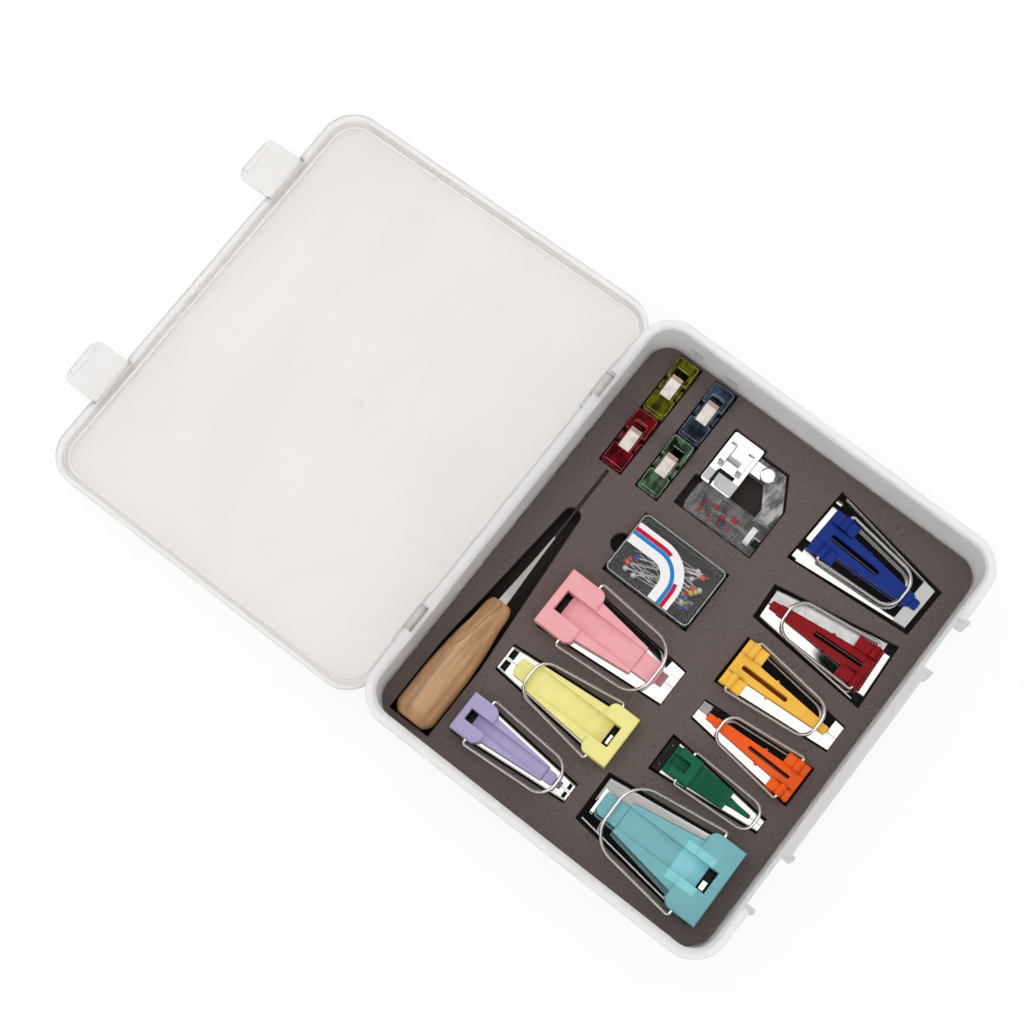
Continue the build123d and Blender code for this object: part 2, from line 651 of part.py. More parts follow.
def ribbed_guide(maker):
    """Guide with a stepped cover, a square recess, grip ribs and a thin tip."""
    base = FOLDER_HEIGHT
    half = maker.head_width / 2
    plate_top = base + RIBBED_PLATE
    block_top = bail_height(RIBBED_PLATE) + WIRE_D / 2 + BAIL_COVER
    step_u = maker.bail_u + maker.bail_u - maker.slot_start - BRIDGE_SETBACK
    cover = taper(maker.head_start, maker.shoulder, half, maker.shoulder_width / 2, base, plate_top)
    bridge = block(maker.slot_start + BRIDGE_SETBACK, step_u, -half, half, base, block_top)
    cover += fillet(top_edges(bridge), GUIDE_EDGE_ROUND)
    count = int((maker.shoulder - maker.head_end) / RIB_PITCH)
    for index in range(count):
        u = maker.head_end + (index + 0.5) * RIB_PITCH
        width = half + (maker.shoulder_width / 2 - half) * (u - maker.head_start) / (
            maker.shoulder - maker.head_start)
        cover += block(u - RIB_PITCH / 4, u + RIB_PITCH / 4, -width + RIB_INSET, width - RIB_INSET,
                       plate_top, plate_top + RIB_HEIGHT)
    tip = taper(maker.shoulder - TIP_OVERLAP, maker.tip_end, maker.tip_width / 2, maker.tip_width / 4,
                base, base + RIBBED_TIP)
    guide = cover + tip + guide_foot(maker)
    guide -= block(maker.slot_start, maker.slot_end, -maker.slot_width / 2, maker.slot_width / 2,
                   base + RIBBED_PLATE / 2, block_top + 1)
    for hole in bail_holes(maker, RIBBED_PLATE):
        guide -= hole
    return maker.place() * guide


def bail(maker, plate):
    """Wire bail: two hooks, two straight legs and a broad round end, in one bent wire."""
    hook = maker.head_width / 2 - BAIL_HOOK_DEPTH
    leg = maker.bail_width / 2
    end = maker.bail_end_width / 2
    route = [(maker.bail_u, hook), (maker.bail_u, leg), (maker.bail_end, end),
             (maker.bail_end, -end), (maker.bail_u, -leg), (maker.bail_u, -hook)]
    radii = [BAIL_HOOK_BEND, maker.bail_corner, maker.bail_corner, BAIL_HOOK_BEND]
    wire = FilletPolyline(*route, radius=radii)
    section = Plane(origin=(maker.bail_u, hook, 0), z_dir=(0, 1, 0)) * Circle(WIRE_D / 2)
    loop = sweep(section, path=wire)
    return maker.place() * Pos(0, 0, bail_height(plate)) * loop


# Awl

def awl_radius(share):
    """Handle radius from the neck, at 0, to its widest, at 1."""
    return AWL_NECK_R + (AWL_HANDLE_R - AWL_NECK_R) * sin(radians(90 * share)) ** 0.8


def awl_handle():
    """Turned wooden handle with one flat facet and a bore for the tang."""
    swell = AWL_HANDLE_LENGTH * AWL_SWELL_SHARE
    steps = AWL_PROFILE_STEPS
    points = [(awl_radius(step / steps), -swell * step / steps) for step in range(steps + 1)]
    butt = -AWL_HANDLE_LENGTH
    rim = (AWL_HANDLE_R, butt + AWL_BUTT_LENGTH)
    middle = (AWL_HANDLE_R - AWL_BUTT_FLAT / 3, butt + AWL_BUTT_LENGTH / 3)
    flat = (AWL_HANDLE_R - AWL_BUTT_FLAT, butt)
    side = Spline(*points, tangents=((1, -1), (0, -1)))
    tail = [Line(points[-1], rim), ThreePointArc(rim, middle, flat), Line(flat, (0, butt)),
            Line((0, butt), (0, 0)), Line((0, 0), points[0])]
    handle = revolve(make_face([side] + tail), Axis.Y)
    reach = AWL_HANDLE_LENGTH / 2
    slope = degrees(atan2(AWL_HANDLE_R - AWL_NECK_R + AWL_FACET_DEPTH, reach))
    wide = 2 * AWL_HANDLE_R
    slab = block(-wide, wide, -2 * AWL_HANDLE_LENGTH, AWL_HANDLE_LENGTH, 0, wide)
    cutter = Pos(0, 0, AWL_NECK_R - AWL_FACET_DEPTH) * Rot(-slope, 0, 0) * slab
    handle -= Rot(0, -AWL_FACET_TILT, 0) * cutter
    handle -= Pos(0, -AWL_TANG_LENGTH / 2, 0) * Rot(90, 0, 0) * Cylinder(
        AWL_TANG_R + RUN_CLEARANCE, AWL_TANG_LENGTH + 2 * SIDE_CLEARANCE)
    return awl_place() * handle


def awl_blade():
    """Tapered steel blade with its tang."""
    tip = AWL_BLADE_LENGTH
    points = [(0, -AWL_TANG_LENGTH), (AWL_TANG_R, -AWL_TANG_LENGTH), (AWL_TANG_R, SEAT_GAP / 2),
              (AWL_BLADE_R, SEAT_GAP / 2)]
    points += [(AWL_BLADE_R * radius, tip * reach) for radius, reach in AWL_BLADE_SHAPE]
    points += [(AWL_POINT_R, tip), (0, tip)]
    return awl_place() * revolve(make_face(Polyline(*points, close=True)), Axis.Y)


def awl_place():
    """Where the awl lies: the front of its handle, with the blade along +Y."""
    return Pos(left(AWL_SIDE_MARGIN), near(AWL_BUTT_MARGIN + AWL_HANDLE_LENGTH), FOAM_TOP - AWL_SINK)


def awl_pocket():
    """Tapered trough for the handle and blade, and a narrow slit for the point."""
    room = POCKET_CLEARANCE
    wide = AWL_HANDLE_R + room
    butt = -AWL_HANDLE_LENGTH - room
    depth = -AWL_HANDLE_R - SEAT_GAP
    trough = prism([(-wide, butt), (wide, butt), (wide, -AWL_HANDLE_LENGTH * AWL_TROUGH_SHARE),
                    (AWL_POCKET_END_R, AWL_POCKET_END - AWL_POCKET_END_R),
                    (-AWL_POCKET_END_R, AWL_POCKET_END - AWL_POCKET_END_R),
                    (-wide, -AWL_HANDLE_LENGTH * AWL_TROUGH_SHARE)], depth, AWL_SINK + 1)
    trough += Pos(0, AWL_POCKET_END - AWL_POCKET_END_R, (depth + AWL_SINK + 1) / 2) * Cylinder(
        AWL_POCKET_END_R, AWL_SINK + 1 - depth)
    slit_half = AWL_BLADE_R * AWL_BLADE_SHAPE[-1][0] + SIDE_CLEARANCE
    trough += block(-slit_half, slit_half, 0, AWL_BLADE_LENGTH + room, -slit_half - SEAT_GAP, AWL_SINK + 1)
    return awl_place() * trough


# Sewing clips

def clip_pocket(clip):
    """Rectangular pocket round a clip, with room for the pressed handle to swing down."""
    room = POCKET_CLEARANCE
    nose = -CLIP_LENGTH / 2 - room
    handle = hypot(CLIP_LENGTH / 2, CLIP_HANDLE_Z - CLIP_PIVOT_Z) + SEAT_GAP
    side = CLIP_WIDTH / 2 + room
    floor = -CLIP_SPRING_SHEET - 2 * SEAT_GAP
    return clip.place() * block(nose, handle, -side, side, floor, CLIP_SINK + 1)


def clip_window():
    """Where the spring passes down behind the pivot, from its front edge to its back edge."""
    start = CLIP_SPRING_REACH
    return start, start + CLIP_WINDOW_LENGTH


def clip_lower(clip):
    """Flat lower jaw with two pivot ears and a window for the spring."""
    half = CLIP_LENGTH / 2
    side = CLIP_WIDTH / 2
    jaw = block(-half, half, -side, side, 0, CLIP_PLATE)
    jaw = fillet(jaw.edges().filter_by(Axis.Z), CLIP_CORNER)
    ear_top = CLIP_PIVOT_Z + CLIP_PIN_D / 2 + CLIP_CORNER
    for sign in (-1, 1):
        inner, outer = sorted((sign * (side - CLIP_EAR), sign * side))
        ear = block(-CLIP_EAR_LENGTH / 2, CLIP_EAR_LENGTH / 2, inner, outer, CLIP_PLATE / 2, ear_top)
        jaw += fillet(ear.edges().filter_by(Axis.Y).sort_by(Axis.Z)[-2:], CLIP_CORNER)
    jaw -= rod(CLIP_PIN_D / 2 + RUN_CLEARANCE, CLIP_WIDTH + 2, (0, 0, CLIP_PIVOT_Z), "y")
    start, end = clip_window()
    jaw -= block(start, end, -CLIP_SPRING_WIDTH / 2 - SIDE_CLEARANCE,
                 CLIP_SPRING_WIDTH / 2 + SIDE_CLEARANCE, -1, CLIP_PLATE + 1)
    return clip.place() * jaw


def clip_lever_top(u):
    """Height of the upper jaw's top face at u, rising from the nose to the handle."""
    half = CLIP_LENGTH / 2
    nose_top = CLIP_PLATE + CLIP_LEVER
    return nose_top + (CLIP_HANDLE_Z - nose_top) * (u + half) / CLIP_LENGTH


def clip_upper(clip):
    """Upper jaw: a lever that rises to the handle, with pivot pins in the lower jaw's ears."""
    half = CLIP_LENGTH / 2
    nose = CLIP_PLATE + CLIP_BITE
    lever = side_profile([(-half, nose), (-CLIP_EAR_LENGTH / 2, nose),
                          (half, CLIP_HANDLE_Z - CLIP_LEVER), (half, CLIP_HANDLE_Z),
                          (-half, CLIP_PLATE + CLIP_LEVER)], CLIP_WIDTH)
    lever = fillet(lever.edges().filter_by(Axis.Z), CLIP_CORNER)
    room = CLIP_EAR_LENGTH / 2 + CLIP_EAR_ROOM
    side = CLIP_WIDTH / 2
    inner = side - CLIP_EAR - SIDE_CLEARANCE
    for sign in (-1, 1):
        low, high = sorted((sign * inner, sign * (side + 1)))
        lever -= block(-room, room, low, high, 0, CLIP_HANDLE_Z)
    lever += rod(CLIP_PIN_D / 2, CLIP_WIDTH, (0, 0, CLIP_PIVOT_Z), "y")
    start, end = clip_window()
    lever -= block(start, end, -CLIP_SPRING_WIDTH / 2 - SIDE_CLEARANCE,
                   CLIP_SPRING_WIDTH / 2 + SIDE_CLEARANCE, 0, CLIP_HANDLE_Z + 1)
    return clip.place() * lever


def clip_spring(clip):
    """Bent steel band over the lever, down through the windows and back under the lower jaw."""
    sheet = CLIP_SPRING_SHEET
    start = clip_window()[0] + SIDE_CLEARANCE
    reach = CLIP_SPRING_REACH
    back = start + sheet
    lift = SEAT_GAP / 2
    under = -lift
    over_front = clip_lever_top(-reach) + lift
    over_start = clip_lever_top(start) + lift
    over_back = clip_lever_top(back) + lift
    band = side_profile([(-reach, over_front), (start, over_start), (start, under),
                         (-reach, under), (-reach, under - sheet), (back, under - sheet),
                         (back, over_back + sheet), (-reach, over_front + sheet)], CLIP_SPRING_WIDTH)
    return clip.place() * band


# Binder foot

def binder_place():
    """Where the binder foot lies: the middle of the metal plate's underside."""
    return Pos(left(BINDER_SIDE_MARGIN), far(BINDER_BACK_MARGIN), FOAM_TOP - BINDER_SINK)


def stud_centre():
    """Centre of the round clamp screw on the plate's side arm."""
    return PLATE_WIDTH / 2 + ARM_REACH - ARM_WIDTH / 2, STUD_SHIFT


def screw_line():
    """Where the adjusting screw lies: its Y, its height and the wheel's X."""
    block_right = block_left() + BLOCK_LENGTH
    wheel_x = block_right - BEARING_WALL - WHEEL_WIDTH / 2 - SIDE_CLEARANCE
    return block_front() + BLOCK_WIDTH / 2, -FRAME_SHEET + SCREW_RISE, wheel_x


def block_left():
    """Left end of the clear block."""
    return -PLATE_WIDTH / 2 + BLOCK_SETBACK


def block_front():
    """Front face of the clear block, ahead of the plate's toes."""
    return -PLATE_LENGTH / 2 - SEAT_GAP - BLOCK_WIDTH


def binder_plate():
    """Chrome foot plate with two toes, two rails with a cross pin, and a side arm."""
    half = PLATE_WIDTH / 2
    front = -PLATE_LENGTH / 2
    plate = block(-half, half, front, -front, 0, PLATE_THICKNESS)
    plate = fillet(plate.edges().filter_by(Axis.Z), PLATE_CORNER)
    slot_x = -half + PLATE_WIDTH * TOE_SPLIT_SHARE
    plate -= block(slot_x, slot_x + TOE_SLOT, front - 1, front + TOE_LENGTH, -1, PLATE_THICKNESS + 1)
    plate -= block(slot_x, slot_x + PLATE_WIDTH / 2, front + TOE_LENGTH - NEEDLE_SLOT, front + TOE_LENGTH,
                   -1, PLATE_THICKNESS + 1)
    rail_y = front + TOE_LENGTH + RAIL_SETBACK
    for side in (-1, 1):
        rail_x = side * RAIL_SPACING / 2
        rail = block(rail_x - RAIL_WIDTH / 2, rail_x + RAIL_WIDTH / 2, rail_y, rail_y + RAIL_LENGTH,
                     PLATE_THICKNESS / 2, PLATE_THICKNESS + RAIL_HEIGHT)
        plate += fillet(rail.edges().filter_by(Axis.X).sort_by(Axis.Z)[-2:], RAIL_ROUND)
    plate += rod(CROSS_PIN_D / 2, RAIL_SPACING, (0, rail_y + RAIL_LENGTH * 0.4,
                                                 PLATE_THICKNESS + RAIL_HEIGHT * 0.6), "x")
    stud_x, stud_y = stud_centre()
    arm = block(half - 1, stud_x, stud_y - ARM_WIDTH / 2, stud_y + ARM_WIDTH / 2, 0, ARM_THICKNESS)
    arm += Pos(stud_x, stud_y, ARM_THICKNESS / 2) * Cylinder(ARM_WIDTH / 2, ARM_THICKNESS)
    plate += arm
    plate -= Pos(stud_x, stud_y, 0) * Cylinder(STUD_SHANK_D / 2 + RUN_CLEARANCE, 4 * ARM_THICKNESS)
    return binder_place() * plate


def binder_frame():
    """Clear body: a C-shaped arm beside the plate, and a block with the slider's channel."""
    half = PLATE_WIDTH / 2 + SEAT_GAP / 2
    start, front = block_left(), block_front()
    end = start + BLOCK_LENGTH
    back = front + BLOCK_WIDTH
    stud_x, stud_y = stud_centre()
    top = stud_y + ARM_WIDTH / 2 + FRAME_MARGIN
    leg = end - FRAME_LEG
    under = -FRAME_SHEET
    outline = [(half, top), (leg, top), (end, top - FRAME_BEVEL), (end, front), (half, front)]
    frame = prism(outline, under, -SEAT_GAP / 6)
    inner_top = stud_y - ARM_WIDTH / 2 - SIDE_CLEARANCE
    frame -= prism([(half - 1, back), (leg, back), (leg, back + FRAME_INNER_BEVEL),
                    (leg - FRAME_INNER_BEVEL, inner_top), (half - 1, inner_top)], under - 1, 1)
    frame += block(start, end, front, back, under, under + FRAME_BLOCK_HEIGHT)
    screw_y, screw_z, wheel_x = screw_line()
    wheel_room = WHEEL_WIDTH / 2 + SIDE_CLEARANCE
    channel_end = wheel_x - wheel_room - BEARING_WALL
    frame -= block(start - 1, channel_end, front + BLOCK_WALL, back - BLOCK_WALL,
                   under + BLOCK_WALL, under + FRAME_BLOCK_HEIGHT + 1)
    frame -= block(wheel_x - wheel_room, wheel_x + wheel_room, screw_y - WHEEL_D / 2 - SIDE_CLEARANCE,
                   screw_y + WHEEL_D / 2 + SIDE_CLEARANCE, under - 1, under + FRAME_BLOCK_HEIGHT + 1)
    frame -= rod(SCREW_D / 2 + RUN_CLEARANCE, BLOCK_LENGTH, ((start + end) / 2, screw_y, screw_z), "x")
    frame -= Pos(stud_x, stud_y, 0) * Cylinder(STUD_SHANK_D / 2 + RUN_CLEARANCE, 6 * FRAME_SHEET)
    return binder_place() * frame


def binder_slider():
    """Clear scroll that slides in the block along the screw."""
    front = block_front()
    under = -FRAME_SHEET + BLOCK_WALL + SEAT_GAP / 2
    top = -FRAME_SHEET + FRAME_BLOCK_HEIGHT
    wall = BLOCK_WALL + SEAT_GAP / 2
    start = block_left() - SLIDER_PROUD
    slider = block(start, start + SLIDER_LENGTH, front + wall, front + BLOCK_WIDTH - wall, under, top)
    slider = fillet(slider.edges().filter_by(Axis.Z), SLIDER_CORNER)
    screw_y, screw_z, _ = screw_line()
    slider -= rod(SCREW_D / 2 + RUN_CLEARANCE, 3 * SLIDER_LENGTH, (start, screw_y, screw_z), "x")
    rim = wall + SLIDER_RIM
    slider -= block(start + SLIDER_GROOVE, start + 2 * SLIDER_GROOVE, front + rim, front + BLOCK_WIDTH - rim,
                    top - SLIDER_GROOVE_DEPTH, top + 1)
    return binder_place() * slider


def binder_screw():
    """Adjusting screw with a grooved thumb wheel."""
    screw_y, screw_z, wheel_x = screw_line()
    end = wheel_x + WHEEL_WIDTH / 2 + BEARING_WALL
    shaft = rod(SCREW_D / 2, SCREW_LENGTH, (end - SCREW_LENGTH / 2, screw_y, screw_z), "x")
    wheel = rod(WHEEL_D / 2, WHEEL_WIDTH, (wheel_x, screw_y, screw_z), "x")
    for index in range(WHEEL_GROOVES):
        angle = radians(360 * index / WHEEL_GROOVES)
        centre = (wheel_x, screw_y + WHEEL_D / 2 * cos(angle), screw_z + WHEEL_D / 2 * sin(angle))
        wheel -= rod(WHEEL_GROOVE_R, WHEEL_WIDTH + 1, centre, "x")
    return binder_place() * (shaft + wheel)


def binder_stud():
    """Round-headed screw that clamps the clear arm to the plate's arm."""
    stud_x, stud_y = stud_centre()
    seat = ARM_THICKNESS + SEAT_GAP / 6
    head = Pos(stud_x, stud_y, seat + STUD_HEIGHT / 2) * Cylinder(STUD_D / 2, STUD_HEIGHT)
    head = fillet(top_edges(head), STUD_ROUND)
    shank_length = seat + FRAME_SHEET
    shank = Pos(stud_x, stud_y, seat - shank_length / 2) * Cylinder(STUD_SHANK_D / 2, shank_length)
    return binder_place() * (head + shank)


def binder_pocket():
    """Pocket round the plate, the clear body and the wheel."""
    room = POCKET_CLEARANCE
    half = PLATE_WIDTH / 2
    start, front = block_left(), block_front()
    end = start + BLOCK_LENGTH + room
    top = stud_centre()[1] + ARM_WIDTH / 2 + FRAME_MARGIN + room
    wheel_drop = screw_line()[1] - WHEEL_D / 2
    floor = min(-FRAME_SHEET, wheel_drop) - SEAT_GAP
    pocket = block(-half - room, half + room, -PLATE_LENGTH / 2 - room, PLATE_LENGTH / 2 + room,
                   floor, BINDER_SINK + 1)
    pocket += block(start - SLIDER_PROUD - SLIDER_RUN_OUT, end, front - room, front + BLOCK_WIDTH + room,
                    floor, BINDER_SINK + 1)
    pocket += prism([(0, front), (end, front), (end, top - FRAME_BEVEL), (end - FRAME_LEG, top), (0, top)],
                    floor, BINDER_SINK + 1)
    return binder_place() * pocket


# Pin box

def pin_box_place():
    """Where the pin box lies: the middle of its underside."""
    return Pos(left(PIN_BOX_SIDE_MARGIN), far(PIN_BOX_BACK_MARGIN), FOAM_TOP - PIN_BOX_SINK)


def box_loop(inset, z):
    """Rounded rectangle inside the pin box's outline by inset, at height z."""
    return Pos(0, 0, z) * RectangleRounded(PIN_BOX_LENGTH - 2 * inset, PIN_BOX_WIDTH - 2 * inset,
                                           PIN_BOX_CORNER - inset / 2)


def pin_tray():
    """Clear tray that stands inside the lid's skirt."""
    inset = PIN_BOX_WALL + PIN_LID_FIT
    tray = extrude(box_loop(inset, 0), PIN_TRAY_HEIGHT)
    tray -= extrude(box_loop(inset + PIN_BOX_WALL, PIN_BOX_WALL), PIN_TRAY_HEIGHT)
    return pin_box_place() * tray


def pin_lid():
    """Clear lid with a skirt round the tray's mouth."""
    inner_top = PIN_TRAY_HEIGHT + PIN_LID_FIT / 2
    top = inner_top + PIN_BOX_WALL
    lid = extrude(box_loop(0, top - PIN_LID_SKIRT - PIN_BOX_WALL), PIN_LID_SKIRT + PIN_BOX_WALL)
    lid = fillet(top_edges(lid), PIN_LID_ROUND)
    lid -= extrude(box_loop(PIN_BOX_WALL, top - PIN_LID_SKIRT - 2 * PIN_BOX_WALL),
                   PIN_LID_SKIRT + PIN_BOX_WALL)
    return pin_box_place() * lid


def pin_label():
    """Paper band on the lid: it runs in from one end, turns a quarter and leaves by the side."""
    top = PIN_TRAY_HEIGHT + PIN_LID_FIT / 2 + PIN_BOX_WALL
    outer_r = LABEL_INNER_R + LABEL_WIDTH
    corner_x = PIN_BOX_LENGTH / 2 - LABEL_SIDE_SETBACK - LABEL_WIDTH
    high = PIN_BOX_WIDTH / 2 - LABEL_SETBACK
    centre_x, centre_y = corner_x + LABEL_WIDTH - outer_r, high - outer_r
    start = -PIN_BOX_LENGTH / 2 + LABEL_EDGE
    low = -PIN_BOX_WIDTH / 2 + LABEL_EDGE
    band = block(start, centre_x, high - LABEL_WIDTH, high, top, top + LABEL_SHEET)
    band += block(corner_x, corner_x + LABEL_WIDTH, low, centre_y, top, top + LABEL_SHEET)
    turn = Circle(outer_r) - Circle(LABEL_INNER_R)
    turn &= Pos(outer_r / 2, outer_r / 2) * Rectangle(outer_r, outer_r)
    band += extrude(Pos(centre_x, centre_y, top) * turn, LABEL_SHEET)
    return pin_box_place() * band


def pin_spots():
    """Centre and direction of each pin's head: rows in stacked layers, heads at alternate ends."""
    inner = PIN_BOX_LENGTH / 2 - 2 * PIN_BOX_WALL - PIN_LID_FIT
    spots = []
    for layer in range(PIN_LAYERS):
        z = PIN_BOX_WALL + PIN_HEAD_D / 2 + PIN_LAYER_GAP + layer * (PIN_HEAD_D + PIN_LAYER_GAP)
        for row in range(PIN_ROWS):
            side = 1 if row % 2 else -1
            x = side * (inner - PIN_HEAD_D / 2 - SEAT_GAP - PIN_STAGGER * (row // 2 % 2))
            y = (row - (PIN_ROWS - 1) / 2) * PIN_ROW_PITCH
            spots.append((x, y, z, -side))
    return spots


def pin_shaft(spot):
    """Pin shaft with a pointed end, from inside its head."""
    x, y, z, way = spot
    length = PIN_LENGTH - PIN_HEAD_D
    point = PIN_POINT_LENGTH
    shaft = rod(PIN_SHAFT_D / 2, length - point, (x + way * (length - point) / 2, y, z), "x")
    cone = Rot(0, 90 * way, 0) * Cone(PIN_SHAFT_D / 2, PIN_POINT_R, point)
    tip = Pos(x + way * (length - point / 2), y, z) * cone
    return pin_box_place() * (shaft + tip)


def pin_head(spot):
    """Round pin head with the hole that the shaft is set in."""
    x, y, z, way = spot
    head = Pos(x, y, z) * Sphere(PIN_HEAD_D / 2)
    hole_r = PIN_SHAFT_D / 2 + RUN_CLEARANCE / 2
    head -= rod(hole_r, PIN_HEAD_D, (x + way * PIN_HEAD_D / 2, y, z), "x")
    return pin_box_place() * head


def pin_box_pocket():
    """Pocket round the pin box, with a round finger notch at one end."""
    room = POCKET_CLEARANCE
    height = PIN_BOX_SINK + 1 + SEAT_GAP
    half_x, half_y = PIN_BOX_LENGTH / 2 + room, PIN_BOX_WIDTH / 2 + room
    pocket = block(-half_x, half_x, -half_y, half_y, -SEAT_GAP, PIN_BOX_SINK + 1)
    pocket += Pos(-half_x, FINGER_NOTCH_SHIFT, height / 2 - SEAT_GAP) * Cylinder(FINGER_NOTCH_R, height)
    return pin_box_place() * pocket


# All the nodes

def build_nodes():
    """Every node's name and solid."""
    nodes = {"case_base": case_base(), "case_lid": case_lid(), "hinge_pins": hinge_pins(),
             "foam_insert": foam_insert()}
    for name, station in LATCH_STATIONS.items():
        nodes[name] = latch(station)
    styles = ((SLOTTED_MAKERS, slotted_guide, GUIDE_PLATE), (CHANNEL_MAKERS, channel_guide, CHANNEL_PLATE),
              (RIBBED_MAKERS, ribbed_guide, RIBBED_PLATE))
    for makers, guide, plate in styles:
        for maker in makers:
            nodes[f"{maker.name}_folder"] = folder(maker)
            nodes[f"{maker.name}_guide"] = guide(maker)
            nodes[f"{maker.name}_bail"] = bail(maker, plate)
            pivot = maker.place() * Pos(maker.bail_u, 0, bail_height(plate))
            report_line(f"{maker.name}_bail", pivot.position, Vector(0, -1, 0).rotate(Axis.Z, maker.yaw))
    nodes["awl_handle"] = awl_handle()
    nodes["awl_blade"] = awl_blade()
    for clip in CLIPS:
        nodes[f"clip_{clip.name}_lower"] = clip_lower(clip)
        nodes[f"clip_{clip.name}_upper"] = clip_upper(clip)
        nodes[f"clip_{clip.name}_spring"] = clip_spring(clip)
        report_line(f"clip_{clip.name}", (clip.place() * Pos(0, 0, CLIP_PIVOT_Z)).position, Vector(-1, 0, 0))
    nodes.update({"binder_plate": binder_plate(), "binder_frame": binder_frame(),
                  "binder_slider": binder_slider(), "binder_screw": binder_screw(),
                  "binder_stud": binder_stud(), "pin_tray": pin_tray(), "pin_lid": pin_lid(),
                  "pin_label": pin_label()})
    spots = pin_spots()
    nodes["pin_shafts"] = Compound(children=[pin_shaft(spot) for spot in spots])
    for index, colour in enumerate(PIN_COLOURS):
        mixed = [spot for number, spot in enumerate(spots) if (number * 3 + number // 7) % len(PIN_COLOURS) == index]
        nodes[f"pin_heads_{colour}"] = Compound(children=[pin_head(spot) for spot in mixed])
    screw_y, screw_z, wheel_x = screw_line()
    report_line("binder_screw", (binder_place() * Pos(wheel_x, screw_y, screw_z)).position, Vector(1, 0, 0))
    report_line("lid", Vector(HINGE_X, 0, HINGE_Z), Vector(0, -1, 0))
    for name, station in LATCH_STATIONS.items():
        swung = opened(Pos(LATCH_X, station, LATCH_Z) * Vertex(0, 0, 0))
        report_line(name, swung.center(), Vector(0, -1, 0))
    print(f"lid lies open at {LID_OPEN_ANGLE:.3f} degrees")
    return nodes


def report_line(name, point, way):
    """Print where a pivot lies and the direction it turns about."""
    print(f"pivot {name} {point.X:.4f} {point.Y:.4f} {point.Z:.4f} {way.X:.6f} {way.Y:.6f} {way.Z:.6f}")


os.makedirs("parts", exist_ok=True)
for node_name, solid in build_nodes().items():
    export_step(solid, f"parts/{node_name}.step")
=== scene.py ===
"""Looks of an open case of bias tape makers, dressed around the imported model.

Every length is in metres unless its name ends in _mm, and every place is in the model's own frame.
"""
import json
import logging
import math
import random
from dataclasses import dataclass, field, replace
from enum import Enum
from typing import Iterable, Optional, Sequence, Union

import bmesh
import bpy
from mathutils import Matrix, Vector


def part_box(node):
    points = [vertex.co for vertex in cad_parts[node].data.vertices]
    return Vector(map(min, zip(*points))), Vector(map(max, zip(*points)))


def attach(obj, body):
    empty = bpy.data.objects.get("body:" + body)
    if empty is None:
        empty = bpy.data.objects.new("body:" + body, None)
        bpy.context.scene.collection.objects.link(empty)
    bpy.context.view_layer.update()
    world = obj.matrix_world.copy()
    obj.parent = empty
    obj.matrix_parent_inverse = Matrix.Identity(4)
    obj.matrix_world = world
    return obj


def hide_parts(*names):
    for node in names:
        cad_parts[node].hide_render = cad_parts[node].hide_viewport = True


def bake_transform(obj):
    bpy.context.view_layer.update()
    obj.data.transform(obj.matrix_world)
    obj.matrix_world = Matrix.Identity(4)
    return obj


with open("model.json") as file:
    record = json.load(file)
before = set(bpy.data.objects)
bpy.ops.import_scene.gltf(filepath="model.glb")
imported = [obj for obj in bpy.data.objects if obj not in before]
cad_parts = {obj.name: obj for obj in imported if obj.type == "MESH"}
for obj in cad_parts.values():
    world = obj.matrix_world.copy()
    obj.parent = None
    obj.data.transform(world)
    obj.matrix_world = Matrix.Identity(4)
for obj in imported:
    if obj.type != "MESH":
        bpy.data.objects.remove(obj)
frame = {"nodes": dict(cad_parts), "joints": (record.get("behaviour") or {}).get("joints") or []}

MM = 0.001
SHARP_ANGLE = math.radians(38)
FLAT_ANGLE = math.radians(0.6)
WELD_DISTANCE = 1e-6
LEVEL_ROOM = 10 * WELD_DISTANCE
MIX_FIRST, MIX_SECOND, MIX_COLOUR = 6, 7, 2
LOG = logging.getLogger("tape_maker_case")

Colour = tuple[int, int, int]
Socket = bpy.types.NodeSocket
Value = Union[Socket, float]


def linear(colour: Colour) -> tuple[float, float, float, float]:
    """Turn a screen colour into the shader's linear one.

    Args:
        colour: red, green and blue from 0 to 255.

    Returns:
        Linear red, green, blue and an alpha of 1.
    """
    def channel(value: int) -> float:
        """One channel, by the sRGB curve."""
        share = value / 255
        return share / 12.92 if share <= 0.04045 else ((share + 0.055) / 1.055) ** 2.4

    return (*(channel(value) for value in colour), 1.0)


def shaded(colour: Colour, share: float) -> Colour:
    """The colour made darker, or lighter where share is over 1."""
    return tuple(min(255, round(value * share)) for value in colour)


def paled(colour: Colour, share: float) -> Colour:
    """The colour brought towards white by a share."""
    return tuple(round(value + (255 - value) * share) for value in colour)


